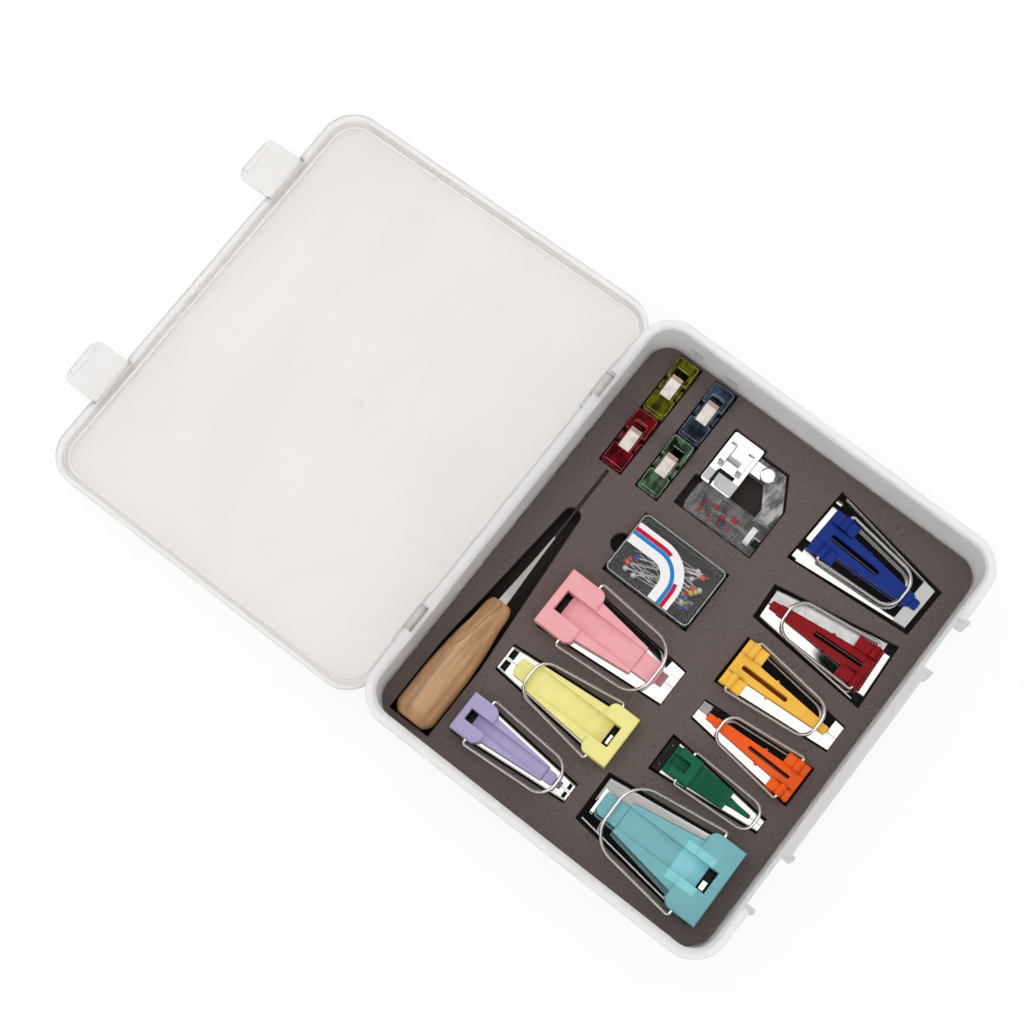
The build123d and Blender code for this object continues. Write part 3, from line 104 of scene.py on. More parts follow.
class Nodes:
    """A node tree, with the steps that the finishes and the sky share."""

    def __init__(self, tree: bpy.types.NodeTree) -> None:
        """Take up a tree."""
        self.tree = tree

    def link(self, source: Socket, target: Socket) -> None:
        """Join two sockets."""
        self.tree.links.new(source, target)

    def node(self, kind: str, **values: object) -> bpy.types.Node:
        """Add a node.

        Args:
            kind: the node's type name.
            values: settings of the node, or numbers for its sockets.

        Returns:
            The node.
        """
        made = self.tree.nodes.new(kind)
        for name, value in values.items():
            if hasattr(made, name):
                setattr(made, name, value)
            else:
                made.inputs[name.replace("_", " ")].default_value = value
        return made

    def calc(self, operation: str, first: Value, second: Value = 0.0) -> Socket:
        """Work out one step of arithmetic.

        Args:
            operation: the step's name.
            first: its first value or number.
            second: its second value or number.

        Returns:
            The result.
        """
        made = self.node("ShaderNodeMath", operation=operation)
        for target, value in zip(made.inputs, (first, second)):
            if isinstance(value, Socket):
                self.link(value, target)
            else:
                target.default_value = value
        return made.outputs[0]

    def spread(self, source: Socket, low: float = 0.3, high: float = 0.7, start: float = 0.0,
               end: float = 1.0) -> Socket:
        """Stretch a value between low and high over start to end.

        Args:
            source: the value, often a noise, which lies between the defaults of low and high.
            low: value that gives start.
            high: value that gives end.
            start: lowest result.
            end: highest result.

        Returns:
            The stretched value.
        """
        made = self.node("ShaderNodeMapRange", interpolation_type="SMOOTHSTEP", From_Min=low, From_Max=high,
                         To_Min=start, To_Max=end)
        self.link(source, made.inputs["Value"])
        return made.outputs["Result"]

    def rays(self, *names: str) -> Socket:
        """Tell some kinds of ray from the others.

        Args:
            names: outputs of the light path.

        Returns:
            A factor that is 1 for the named kinds of ray.
        """
        path = self.node("ShaderNodeLightPath")
        factor = path.outputs[names[0]]
        for name in names[1:]:
            factor = self.calc("MAXIMUM", factor, path.outputs[name])
        return factor


class Shader(Nodes):
    """Node tree of one material, with the few patterns that the finishes share."""

    def __init__(self, name: str) -> None:
        """Start a material with a plain surface.

        Args:
            name: the material's name.
        """
        self.material = bpy.data.materials.new(name)
        self.material.use_nodes = True
        super().__init__(self.material.node_tree)
        self.surface = self.tree.nodes["Principled BSDF"]
        self.place = self.node("ShaderNodeTexCoord").outputs["Object"]

    def set(self, **values: object) -> None:
        """Set the surface's own sockets, with spaces in their names given as underscores."""
        for name, value in values.items():
            self.surface.inputs[name.replace("_", " ")].default_value = value

    def noise(self, size: float, detail: float = 2.0, stretch: Sequence[float] = (1, 1, 1)) -> Socket:
        """Soft noise on the piece.

        Args:
            size: width of its blotches in metres.
            detail: how many finer layers it has.
            stretch: how much longer the blotches are along each axis.

        Returns:
            The noise's height, about 0.5 on average.
        """
        mapping = self.node("ShaderNodeMapping", Scale=[1 / share for share in stretch])
        self.link(self.place, mapping.inputs["Vector"])
        pattern = self.node("ShaderNodeTexNoise", Scale=1 / size, Detail=detail)
        self.link(mapping.outputs["Vector"], pattern.inputs["Vector"])
        return pattern.outputs["Fac"]

    def paint(self, factor: Socket, first: Colour, second: Colour, shade: Optional[Socket] = None) -> None:
        """Give the surface a colour that goes from first to second with the factor.

        Args:
            factor: how far the colour has gone.
            first: colour at 0.
            second: colour at 1.
            shade: how light the colour stays, where it isn't even.
        """
        mix = self.node("ShaderNodeMix", data_type="RGBA")
        mix.inputs[MIX_FIRST].default_value = linear(first)
        mix.inputs[MIX_SECOND].default_value = linear(second)
        self.link(factor, mix.inputs["Factor"])
        colour = mix.outputs[MIX_COLOUR]
        if shade:
            dim = self.node("ShaderNodeMix", data_type="RGBA", blend_type="MULTIPLY", Factor=1.0)
            self.link(colour, dim.inputs[MIX_FIRST])
            self.link(shade, dim.inputs[MIX_SECOND])
            colour = dim.outputs[MIX_COLOUR]
        self.link(colour, self.surface.inputs["Base Color"])

    def along(self, axis: str, low: float, high: float, start: float = 0.0, end: float = 1.0) -> Socket:
        """A value that changes along one axis.

        Args:
            axis: X, Y or Z.
            low: place on the axis that gives start.
            high: place on the axis that gives end.
            start: lowest result.
            end: highest result.

        Returns:
            The value.
        """
        axes = self.node("ShaderNodeSeparateXYZ")
        self.link(self.place, axes.inputs[0])
        return self.spread(axes.outputs[axis], low, high, start, end)

    def patch(self, place: Matrix, low: Sequence[float], high: Sequence[float], soft: float) -> Socket:
        """A rectangle seen from above.

        Args:
            place: frame that the rectangle lies in.
            low: its lowest corner there.
            high: its highest corner there.
            soft: half the width of its border.

        Returns:
            A factor that is 1 on the rectangle and 0 around it.
        """
        turned = place.inverted()
        mapping = self.node("ShaderNodeMapping", Rotation=turned.to_euler(), Location=turned.translation)
        self.link(self.place, mapping.inputs["Vector"])
        axes = self.node("ShaderNodeSeparateXYZ")
        self.link(mapping.outputs["Vector"], axes.inputs[0])
        sides = []
        for axis, first, last in zip("XY", low, high):
            rise = self.spread(axes.outputs[axis], first - soft, first + soft)
            fall = self.spread(axes.outputs[axis], last + soft, last - soft)
            sides.append(self.calc("MULTIPLY", rise, fall))
        return self.calc("MULTIPLY", *sides)

    def roughen(self, factor: Socket, low: float, high: float) -> None:
        """Let the roughness go from low to high with the factor."""
        self.link(self.spread(factor, start=low, end=high), self.surface.inputs["Roughness"])

    def bump(self, height: Socket, depth: float) -> None:
        """Raise the surface.

        Args:
            height: how far each spot is raised, from 0 to 1.
            depth: the rise in metres that a height of 1 gives.
        """
        made = self.node("ShaderNodeBump", Strength=1.0, Distance=depth)
        self.link(height, made.inputs["Height"])
        self.link(made.outputs["Normal"], self.surface.inputs["Normal"])


@dataclass(frozen=True)
class Finish:
    """A finish with a name and a colour."""

    name: str
    colour: Colour

    def material(self) -> bpy.types.Material:
        """Make the finish's material on its first use.

        Returns:
            The material.
        """
        found = bpy.data.materials.get(self.name)
        if found:
            return found
        shader = Shader(self.name)
        self.dress(shader)
        return shader.material

    def dress(self, shader: Shader) -> None:
        """Lay the finish's nodes."""
        raise NotImplementedError

    def tones(self, first: float, second: float) -> tuple[Colour, Colour]:
        """The colour in two tones, each a share of it."""
        return shaded(self.colour, first), shaded(self.colour, second)


@dataclass(frozen=True)
class MouldedPlastic(Finish):
    """Opaque moulded plastic with a faint grain and a soft sheen."""

    roughness: float = 0.4
    gloss: float = 0.2
    cloud_size: float = 6 * MM
    cloud_tones: Sequence[float] = (0.98, 1.01)
    sheen_size: float = 1.2 * MM
    sheen_change: Sequence[float] = (-0.06, 0.08)
    grain_size: float = 0.3 * MM
    grain_depth: float = 0.006 * MM
    pale_place: Optional[Matrix] = None
    pale_low: Sequence[float] = (0, 0)
    pale_high: Sequence[float] = (0, 0)
    pale_border: float = 0.15 * MM
    painted_light_share: float = 1.4

    def dress(self, shader: Shader) -> None:
        """Blotchy colour, fine grain, uneven gloss and any panel of painted light.

        Args:
            shader: the material's nodes.
        """
        shade = None
        # painted light: a lighter rectangle stands in for light through the thin plastic of a recess, off
        # the metal beneath
        if self.pale_place:
            panel = shader.patch(self.pale_place, self.pale_low, self.pale_high, self.pale_border)
            shade = shader.spread(panel, 0, 1, 1, self.painted_light_share)
        cloud = shader.spread(shader.noise(self.cloud_size, 3))
        shader.paint(cloud, *self.tones(*self.cloud_tones), shade)
        low, high = (self.roughness + change for change in self.sheen_change)
        shader.roughen(shader.noise(self.sheen_size), low, high)
        shader.bump(shader.noise(self.grain_size), self.grain_depth)
        shader.set(Specular_IOR_Level=self.gloss)


@dataclass(frozen=True)
class FrostedPlastic(Finish):
    """Milky see-through plastic of the case."""

    clearness: float = 0.5
    roughness: float = 0.36
    bend: float = 1.45
    milk: float = 0.5
    milk_depth: float = 4 * MM
    flow_size: float = 26 * MM
    flow_stretch: Sequence[float] = (1, 2.5, 1)
    flow_tones: Sequence[float] = (0.985, 1)
    skin_size: float = 3 * MM
    skin_change: Sequence[float] = (-0.05, 0.07)
    grain_size: float = 0.5 * MM
    grain_depth: float = 0.01 * MM

    def dress(self, shader: Shader) -> None:
        """Milky body with flow marks and a matt skin.

        Args:
            shader: the material's nodes.
        """
        flow = shader.spread(shader.noise(self.flow_size, 4, self.flow_stretch))
        shader.paint(flow, *self.tones(*self.flow_tones))
        low, high = (self.roughness + change for change in self.skin_change)
        shader.roughen(shader.noise(self.skin_size), low, high)
        shader.bump(shader.noise(self.grain_size), self.grain_depth)
        shader.set(Transmission_Weight=self.clearness, IOR=self.bend, Subsurface_Weight=self.milk,
                   Subsurface_Radius=(1.0, 1.0, 1.0), Subsurface_Scale=self.milk_depth)


@dataclass(frozen=True)
class TintedPlastic(Finish):
    """Glossy plastic with a see-through tint, as a thin veil where little of it shows."""

    clearness: float = 0.6
    roughness: float = 0.08
    bend: float = 1.46
    veil: float = 1.0
    streaks: float = 0.2
    streak_size: float = 1.4 * MM
    streak_stretch: Sequence[float] = (1, 2, 1)
    streak_range: Sequence[float] = (0.35, 0.7)
    reflection_patches: float = 0.0
    reflection_patch_start: float = 0.0
    reflection_patch_border: float = 0.5 * MM
    reflection_patch_range: Sequence[float] = (0.4, 0.68)
    reflection_patch_least: float = 0.25

    def dress(self, shader: Shader) -> None:
        """Tinted body with streaks inside it, and any blotchy patches of painted reflection, which begin
        partway along Y.

        Args:
            shader: the material's nodes.
        """
        streak = shader.noise(self.streak_size, 3, self.streak_stretch)
        dark, light = self.tones(1 - self.streaks, 1 + self.streaks)
        shader.paint(shader.spread(streak, *self.streak_range), dark, light)
        shader.set(Transmission_Weight=self.clearness, IOR=self.bend, Roughness=self.roughness,
                   Alpha=self.veil)
        # painted reflection: the veil grows denser in blotches, so the clear plastic shows pale patches
        # where reflections would lie
        if self.reflection_patches:
            begun = shader.along("Y", self.reflection_patch_start - self.reflection_patch_border, self.reflection_patch_start + self.reflection_patch_border)
            blotch = shader.spread(streak, *self.reflection_patch_range, self.reflection_patch_least)
            dense = shader.calc("MULTIPLY", blotch, begun)
            shader.link(shader.spread(dense, 0, 1, self.veil, self.veil + self.reflection_patches),
                        shader.surface.inputs["Alpha"])


@dataclass(frozen=True)
class BrightMetal(Finish):
    """Polished or drawn metal."""

    roughness: float = 0.12
    grain: Sequence[float] = (1, 1, 1)
    smear_size: float = 3 * MM
    smear_tones: Sequence[float] = (0.96, 1)
    smear_shares: Sequence[float] = (0.8, 1.3)
    line_size: float = 0.6 * MM
    line_depth: float = 0.0015 * MM

    def dress(self, shader: Shader) -> None:
        """Mirror skin with faint smears and draw lines.

        Args:
            shader: the material's nodes.
        """
        smear = shader.noise(self.smear_size, 3, self.grain)
        shader.paint(shader.spread(smear), *self.tones(*self.smear_tones))
        shader.roughen(smear, *(self.roughness * share for share in self.smear_shares))
        shader.bump(shader.noise(self.line_size, 2, self.grain), self.line_depth)
        shader.set(Metallic=1.0)


@dataclass(frozen=True)
class VarnishedWood(Finish):
    """Turned wood under varnish, with its grain along Y."""

    varnish: float = 0.6
    varnish_roughness: float = 0.12
    roughness: float = 0.45
    streak_size: float = 2.4 * MM
    streak_stretch: Sequence[float] = (1, 16, 1)
    pore_size: float = 0.5 * MM
    pore_stretch: Sequence[float] = (1, 14, 1)
    pore_share: float = 0.35
    pore_depth: float = 0.012 * MM
    tone_range: Sequence[float] = (0.42, 0.95)
    wood_tones: Sequence[float] = (1.06, 0.84)

    def dress(self, shader: Shader) -> None:
        """Long streaks, dark pores and a gloss coat.

        Args:
            shader: the material's nodes.
        """
        streak = shader.noise(self.streak_size, 4, self.streak_stretch)
        pores = shader.noise(self.pore_size, 2, self.pore_stretch)
        figure = shader.calc("ADD", shader.calc("MULTIPLY", pores, self.pore_share), streak)
        shader.paint(shader.spread(figure, *self.tone_range), *self.tones(*self.wood_tones))
        shader.bump(pores, self.pore_depth)
        shader.set(Roughness=self.roughness, Coat_Weight=self.varnish, Coat_Roughness=self.varnish_roughness)


@dataclass(frozen=True)
class CutFoam(Finish):
    """Dense closed-cell foam, with painted shade down in its pockets."""

    top: float = 20 * MM
    lip: float = 0.2 * MM
    deep: float = 5 * MM
    deep_shade: float = 0.3
    cell_size: float = 0.7 * MM
    cell_range: Sequence[float] = (0.25, 0.75)
    pit_size: float = 1.5 * MM
    pit_range: Sequence[float] = (0.66, 0.74)
    pit_share: float = 0.5
    foam_tones: Sequence[float] = (1.05, 0.78)
    grain_size: float = 0.4 * MM
    grain_depth: float = 0.06 * MM
    roughness: float = 0.93
    gloss: float = 0.2

    def dress(self, shader: Shader) -> None:
        """Cell speckle, a few dark pits, painted shade down in the pockets and a dull skin.

        Args:
            shader: the material's nodes.
        """
        cells = shader.spread(shader.noise(self.cell_size, 3), *self.cell_range, 0, 1 - self.pit_share)
        pits = shader.spread(shader.noise(self.pit_size, 1), *self.pit_range)
        speckle = shader.calc("ADD", shader.calc("MULTIPLY", pits, self.pit_share), cells)
        # painted shade: the colour darkens from just under the top down into the pockets, where shade falls
        depth = shader.along("Z", self.top - self.deep, self.top - self.lip, self.deep_shade)
        shader.paint(speckle, *self.tones(*self.foam_tones), depth)
        shader.bump(shader.noise(self.grain_size, 3), self.grain_depth)
        shader.set(Roughness=self.roughness, Specular_IOR_Level=self.gloss)


@dataclass(frozen=True)
class FlatPrint(Finish):
    """Ink or coated paper."""

    roughness: float = 0.45
    gloss: float = 0.15
    fibre_size: float = 0.8 * MM
    fibre_tones: Sequence[float] = (0.97, 1)
    fibre_depth: float = 0.01 * MM

    def dress(self, shader: Shader) -> None:
        """Even colour with a trace of paper fibre.

        Args:
            shader: the material's nodes.
        """
        fibre = shader.noise(self.fibre_size, 3)
        shader.paint(shader.spread(fibre), *self.tones(*self.fibre_tones))
        shader.bump(fibre, self.fibre_depth)
        shader.set(Roughness=self.roughness, Specular_IOR_Level=self.gloss)


@dataclass(frozen=True)
class GlossBead(Finish):
    """Glassy pin head."""

    cloud_size: float = 1.5 * MM
    cloud_tones: Sequence[float] = (0.9, 1)
    roughness: float = 0.2
    coat: float = 0.8
    coat_roughness: float = 0.05

    def dress(self, shader: Shader) -> None:
        """Deep colour under a clear coat.

        Args:
            shader: the material's nodes.
        """
        shader.paint(shader.spread(shader.noise(self.cloud_size)), *self.tones(*self.cloud_tones))
        shader.set(Roughness=self.roughness, Coat_Weight=self.coat, Coat_Roughness=self.coat_roughness)


CASE_PLASTIC = FrostedPlastic("case_plastic_finish", (249, 246, 244), clearness=0.8)
# painted light: a paler, less clear copy of the case plastic, which brightens the base's shaded walls
LIT_BASE_PLASTIC = FrostedPlastic("lit_base_plastic_finish", (253, 251, 250), clearness=0.55)
LID_PLASTIC = FrostedPlastic("lid_plastic_finish", (249, 246, 244), clearness=0.65)
LATCH_PLASTIC = FrostedPlastic("latch_plastic_finish", (249, 246, 244), clearness=0.55)
FOAM = CutFoam("foam_finish", (97, 87, 84))
NICKEL = BrightMetal("nickel_finish", (238, 236, 233), roughness=0.05, grain=(8, 1, 1))
# painted reflection: a darker grey copy of the nickel, for the parts of the orange folder that look dull
# grey
SHADED_NICKEL = BrightMetal("shaded_nickel_finish", (184, 182, 182), roughness=0.42)
SATIN = BrightMetal("satin_finish", (238, 237, 235), roughness=0.42)
WIRE = BrightMetal("wire_finish", (236, 231, 226), roughness=0.03)
CHROME = BrightMetal("chrome_finish", (250, 250, 250), roughness=0.05)
STEEL = BrightMetal("steel_finish", (186, 183, 178), roughness=0.28, grain=(1, 12, 1))
BLADE_TIP = BrightMetal("blade_tip_finish", (74, 70, 68), roughness=0.3)
SHAFT_STEEL = MouldedPlastic("shaft_finish", (122, 119, 118), roughness=0.35, gloss=0.4)
PIN_STEEL = BrightMetal("pin_steel_finish", (246, 244, 240), roughness=0.3)
SPRING_STEEL = BrightMetal("spring_finish", (255, 244, 236), roughness=0.3)
SPRING_FOLD = BrightMetal("spring_fold_finish", (198, 172, 152), roughness=0.4)
WOOD = VarnishedWood("wood_finish", (188, 142, 96))
BARE_WOOD = VarnishedWood("bare_wood_finish", (186, 142, 100), varnish=0.1)
CLEAR = TintedPlastic("clear_finish", (176, 173, 173), clearness=0.0, roughness=0.06, streaks=0.3,
                      streak_size=4 * MM, bend=1.4, veil=0.13)
# painted light and shade: the clear body's rounded edges take a grey, half-opaque veil that draws the bright
# and dark lines along them
CLEAR_EDGE_PAINTED_LIGHT = TintedPlastic("clear_edge_painted_light_finish", (150, 148, 148), clearness=0.0, roughness=0.1, streaks=0.2,
                           veil=0.5)
COVER_CLEAR = TintedPlastic("cover_finish", (176, 173, 173), clearness=0.0, roughness=0.05, streaks=0.3,
                            streak_size=5 * MM, bend=1.4, veil=0.03)
BOX_CLEAR = TintedPlastic("box_finish", (253, 253, 253), clearness=0.978, roughness=0.02, streaks=0.005,
                          bend=1.12)
# painted highlight: a whiter, less clear copy of the box's plastic for its edges and rib
BOX_EDGE_LIGHT = TintedPlastic("box_edge_light_finish", (236, 238, 238), clearness=0.72, roughness=0.12, streaks=0.03)
HINGE_STEEL = BrightMetal("hinge_steel_finish", (244, 242, 240), roughness=0.6)
CASE_GLOSS = MouldedPlastic("case_gloss_finish", (252, 249, 248), roughness=0.2, gloss=0.5)
WOOD_LINE = MouldedPlastic("wood_line_finish", (112, 70, 36), roughness=0.5)
PAPER = FlatPrint("paper_finish", (236, 232, 234))
BLUE_INK = FlatPrint("blue_ink_finish", (16, 128, 196))
RED_INK = FlatPrint("red_ink_finish", (196, 8, 46))
SCALE_INK = FlatPrint("scale_ink_finish", (150, 6, 28))
# black of real plastic parts, and of the sheets of painted shade in the folders, the binder's slot and
# beside its wheel
BLACK_PLASTIC_AND_SHADE = MouldedPlastic("black_plastic_and_shade_finish", (14, 14, 15), roughness=0.3)
# painted shade: a brown that stands in for the shade in the yellow guide's slot
BROWN_SHADE = MouldedPlastic("brown_shade_finish", (176, 92, 34), roughness=0.4)
CAST_METAL = MouldedPlastic("cast_metal_finish", (190, 188, 186), roughness=0.5)
SLOT_HIGHLIGHT_STEEL = BrightMetal("slot_highlight_finish", (132, 126, 118), roughness=0.35)
GATE_PLASTIC = MouldedPlastic("gate_finish", (222, 219, 217), roughness=0.5)
# painted reflection: a light diffuse grey stands in for the bright reflections of the metal thumb wheel
WHEEL_METAL = MouldedPlastic("wheel_metal_finish", (228, 228, 226), roughness=0.3, gloss=0.5)


def joint(name: str) -> dict:
    """The record's joint of that name."""
    return next(entry for entry in frame["joints"] if entry["name"] == name)


def corners(node: str) -> list[Vector]:
    """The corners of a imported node."""
    return [vertex.co for vertex in frame["nodes"][node].data.vertices]


def add_object(name: str, data: bpy.types.ID) -> bpy.types.Object:
    """Put an object into the scene.

    Args:
        name: the object's name.
        data: its mesh, curve, lamp or camera.

    Returns:
        The object.
    """
    made = bpy.data.objects.new(name, data)
    bpy.context.scene.collection.objects.link(made)
    return made


class LocalFrame:
    """Level frame at a point of the model, with u along a piece, v across it and z up."""

    def __init__(self, origin: Vector, along: Vector) -> None:
        """Set the frame down.

        Args:
            origin: the point that it stands over.
            along: the level direction of u.
        """
        across = Vector((-along.y, along.x, 0))
        self.matrix = Matrix((along, across, Vector((0, 0, 1)))).transposed().to_4x4()
        self.matrix.translation = Vector((origin.x, origin.y, 0))

    def points(self, node: str) -> list[Vector]:
        """The node's corners, seen from this frame."""
        turned = self.matrix.inverted()
        return [turned @ corner for corner in corners(node)]


class Blank:
    """A mesh in the making, in a local frame, with the shapes and cuts that the pieces share."""

    def __init__(self, place: Optional[Matrix] = None) -> None:
        """Start with nothing.

        Args:
            place: the local frame, where it isn't the model's own.
        """
        self.mesh = bmesh.new()
        self.place = place or Matrix.Identity(4)

    def box(self, low: Sequence[float], high: Sequence[float], round_by: float = 0.0,
            segments: int = 2) -> None:
        """Add a box between two corners.

        Args:
            low: lowest corner.
            high: highest corner.
            round_by: radius of its edges.
            segments: steps round each edge.
        """
        size = [b - a for a, b in zip(low, high)]
        middle = [(a + b) / 2 for a, b in zip(low, high)]
        matrix = Matrix.Translation(middle) @ Matrix.Diagonal((*size, 1))
        made = bmesh.ops.create_cube(self.mesh, size=1, matrix=matrix)
        if round_by:
            edges = list({edge for vertex in made["verts"] for edge in vertex.link_edges})
            self.round(edges, round_by, segments)

    def round(self, edges: Iterable[bmesh.types.BMEdge], width: float, segments: int = 2,
              clamp: bool = True) -> None:
        """Round some edges.

        Args:
            edges: the edges.
            width: how far the rounding reaches from each edge.
            segments: steps round each edge.
            clamp: whether the rounding shrinks where two of them would meet.
        """
        bmesh.ops.bevel(self.mesh, geom=list(edges), offset=width, offset_type="OFFSET", segments=segments,
                        profile=0.5, affect="EDGES", clamp_overlap=clamp, material=-1)

    def rod(self, start: Sequence[float], end: Sequence[float], radius: float,
            end_radius: Optional[float] = None, segments: int = 16) -> None:
        """Add a rod or cone between two points.

        Args:
            start: centre of its first end.
            end: centre of its other end.
            radius: radius at the start.
            end_radius: radius at the end, or the same one.
            segments: sides of the rod.
        """
        way = Vector(end) - Vector(start)
        turn = way.to_track_quat("Z", "Y").to_matrix().to_4x4()
        matrix = Matrix.Translation((Vector(start) + Vector(end)) / 2) @ turn
        last = radius if end_radius is None else end_radius
        bmesh.ops.create_cone(self.mesh, cap_ends=True, segments=segments, radius1=radius, radius2=last,
                              depth=way.length, matrix=matrix)

    def ball(self, centre: Sequence[float], radius: float, segments: int = 16) -> None:
        """Add a ball."""
        bmesh.ops.create_uvsphere(self.mesh, u_segments=segments, v_segments=segments // 2, radius=radius,
                                  matrix=Matrix.Translation(centre))

    def prism(self, outline: Sequence[Sequence[float]], low: float, high: float) -> None:
        """Raise a flat outline.

        Args:
            outline: corners in order, seen from above, anticlockwise.
            low: height of its underside.
            high: height of its top.
        """
        under = self.mesh.faces.new([self.mesh.verts.new((x, y, low)) for x, y in outline])
        raised = bmesh.ops.extrude_face_region(self.mesh, geom=[under], use_keep_orig=True)["geom"]
        top = [item for item in raised if isinstance(item, bmesh.types.BMVert)]
        bmesh.ops.translate(self.mesh, verts=top, vec=(0, 0, high - low))
        under.normal_flip()

    def strip(self, sections: Sequence[Sequence[Sequence[float]]]) -> list[bmesh.types.BMFace]:
        """Bridge a row of open sections into one sheet.

        Args:
            sections: points of each section, as many in each.

        Returns:
            The sheet's faces.
        """
        faces = []
        before = None
        for section in sections:
            line = [self.mesh.verts.new(point) for point in section]
            edges = [self.mesh.edges.new(pair) for pair in zip(line, line[1:])]
            if before:
                faces += bmesh.ops.bridge_loops(self.mesh, edges=before + edges)["faces"]
            before = edges
        return faces

    def round_corner(self, x: float, y: float, radius: float, segments: int = 6) -> None:
        """Round the upright edge that stands at a spot.

        Args:
            x: the spot's first coordinate.
            y: the spot's second coordinate.
            radius: how far the rounding reaches.
            segments: steps round the edge.
        """
        spot = Vector((x, y))
        edges = [edge for edge in self.mesh.edges
                 if all((corner.co.xy - spot).length < LEVEL_ROOM for corner in edge.verts)]
        self.round(edges, radius, segments)

    def sharp_edges(self, angle: float = SHARP_ANGLE) -> list[bmesh.types.BMEdge]:
        """Edges whose two faces meet at a clear angle."""
        return [edge for edge in self.mesh.edges if edge.is_manifold and edge.calc_face_angle(0) > angle]

    def loop(self, low: Sequence[float], high: Sequence[float], corner: float, z: float, radius: float,
             sides: int = 8, turn_steps: int = 6) -> None:
        """Draw a ring round a rounded rectangle, as a bead.

        Args:
            low: lowest corner of the bead's middle line.
            high: highest corner of it.
            corner: radius of its corners.
            z: height of its middle line.
            radius: radius of the bead.
            sides: sides of the bead.
            turn_steps: steps round each corner.
        """
        left, right = low[0] + corner, high[0] - corner
        front, back = low[1] + corner, high[1] - corner
        upright = Matrix.Translation((high[0], back, z)) @ Matrix.Rotation(math.pi / 2, 4, "X")
        ring = bmesh.ops.create_circle(self.mesh, segments=sides, radius=radius, matrix=upright)["verts"]
        edges = list({edge for vertex in ring for edge in vertex.link_edges})
        wide, deep = right - left, back - front
        for x, y, run in ((right, back, (-wide, 0, 0)), (left, back, (0, -deep, 0)),
                          (left, front, (wide, 0, 0)), (right, front, (0, deep, 0))):
            turned = bmesh.ops.spin(self.mesh, geom=ring + edges, cent=(x, y, z), axis=(0, 0, 1),
                                    angle=math.pi / 2, steps=turn_steps)["geom_last"]
            ends = [item for item in turned if isinstance(item, bmesh.types.BMEdge)]
            drawn = bmesh.ops.extrude_edge_only(self.mesh, edges=ends)["geom"]
            ring = [item for item in drawn if isinstance(item, bmesh.types.BMVert)]
            edges = [item for item in drawn if isinstance(item, bmesh.types.BMEdge) and item.is_boundary]
            bmesh.ops.translate(self.mesh, verts=ring, vec=run)
        bmesh.ops.remove_doubles(self.mesh, verts=self.mesh.verts, dist=WELD_DISTANCE)
        bmesh.ops.recalc_face_normals(self.mesh, faces=self.mesh.faces)

    def copy_node(self, node: str) -> None:
        """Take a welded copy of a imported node, with its flat faces made whole.

        Args:
            node: the node's name.
        """
        self.mesh.from_mesh(frame["nodes"][node].data)
        bmesh.ops.remove_doubles(self.mesh, verts=self.mesh.verts, dist=WELD_DISTANCE)
        bmesh.ops.dissolve_limit(self.mesh, angle_limit=FLAT_ANGLE, verts=self.mesh.verts,
                                 edges=self.mesh.edges)

    def to_object(self, name: str) -> bpy.types.Object:
        """Turn the blank into an object of the scene.

        Args:
            name: the object's name.

        Returns:
            The object.
        """
        bmesh.ops.transform(self.mesh, matrix=self.place, verts=self.mesh.verts)
        data = bpy.data.meshes.new(name)
        self.mesh.to_mesh(data)
        self.mesh.free()
        return add_object(name, data)

    def piece(self, name: str, finish: Finish, body: Optional[str], slot: str,
              stands_for: Sequence[str] = (), second: Optional[Finish] = None) -> bpy.types.Object:
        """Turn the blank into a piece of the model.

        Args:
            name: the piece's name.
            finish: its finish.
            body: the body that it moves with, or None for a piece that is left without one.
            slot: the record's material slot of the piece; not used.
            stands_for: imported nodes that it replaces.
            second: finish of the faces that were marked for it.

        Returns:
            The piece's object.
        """
        made = self.to_object(name)
        made.data.shade_smooth()
        made.data.set_sharp_from_angle(angle=SHARP_ANGLE)
        for coat in filter(None, (finish, second)):
            made.data.materials.append(coat.material())
        made.modifiers.new("flat_faces", "WEIGHTED_NORMAL").keep_sharp = True
        if body:
            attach(made, body)
        if stands_for:
            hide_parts(*stands_for)
        LOG.info("%s: %d faces", name, len(made.data.polygons))
        return made


def dress_node(node: str, finish: Finish, round_by: float = 0.0, segments: int = 2,
               edge: Optional[Finish] = None) -> bpy.types.Object:
    """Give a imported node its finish.

    Args:
        node: the node's name.
        finish: its finish.
        round_by: how far its sharp edges are rounded, or 0 to leave them.
        segments: steps round each edge.
        edge: finish of the rounded edges, where it isn't the same.

    Returns:
        The node's object.
    """
    made = frame["nodes"][node]
    made.data.materials.clear()
    made.data.materials.append(finish.material())
    if round_by:
        weld = made.modifiers.new("weld", "WELD")
        weld.merge_threshold = WELD_DISTANCE
        whole = made.modifiers.new("whole_faces", "DECIMATE")
        whole.decimate_type = "DISSOLVE"
        whole.angle_limit = FLAT_ANGLE
        bevel = made.modifiers.new("rounded_edges", "BEVEL")
        bevel.width, bevel.segments, bevel.limit_method = round_by, segments, "ANGLE"
        bevel.angle_limit = SHARP_ANGLE
        bevel.use_clamp_overlap = False
        bevel.harden_normals = True
        if edge:
            made.data.materials.append(edge.material())
            bevel.material = 1
    LOG.info("%s: dressed", node)
    return made


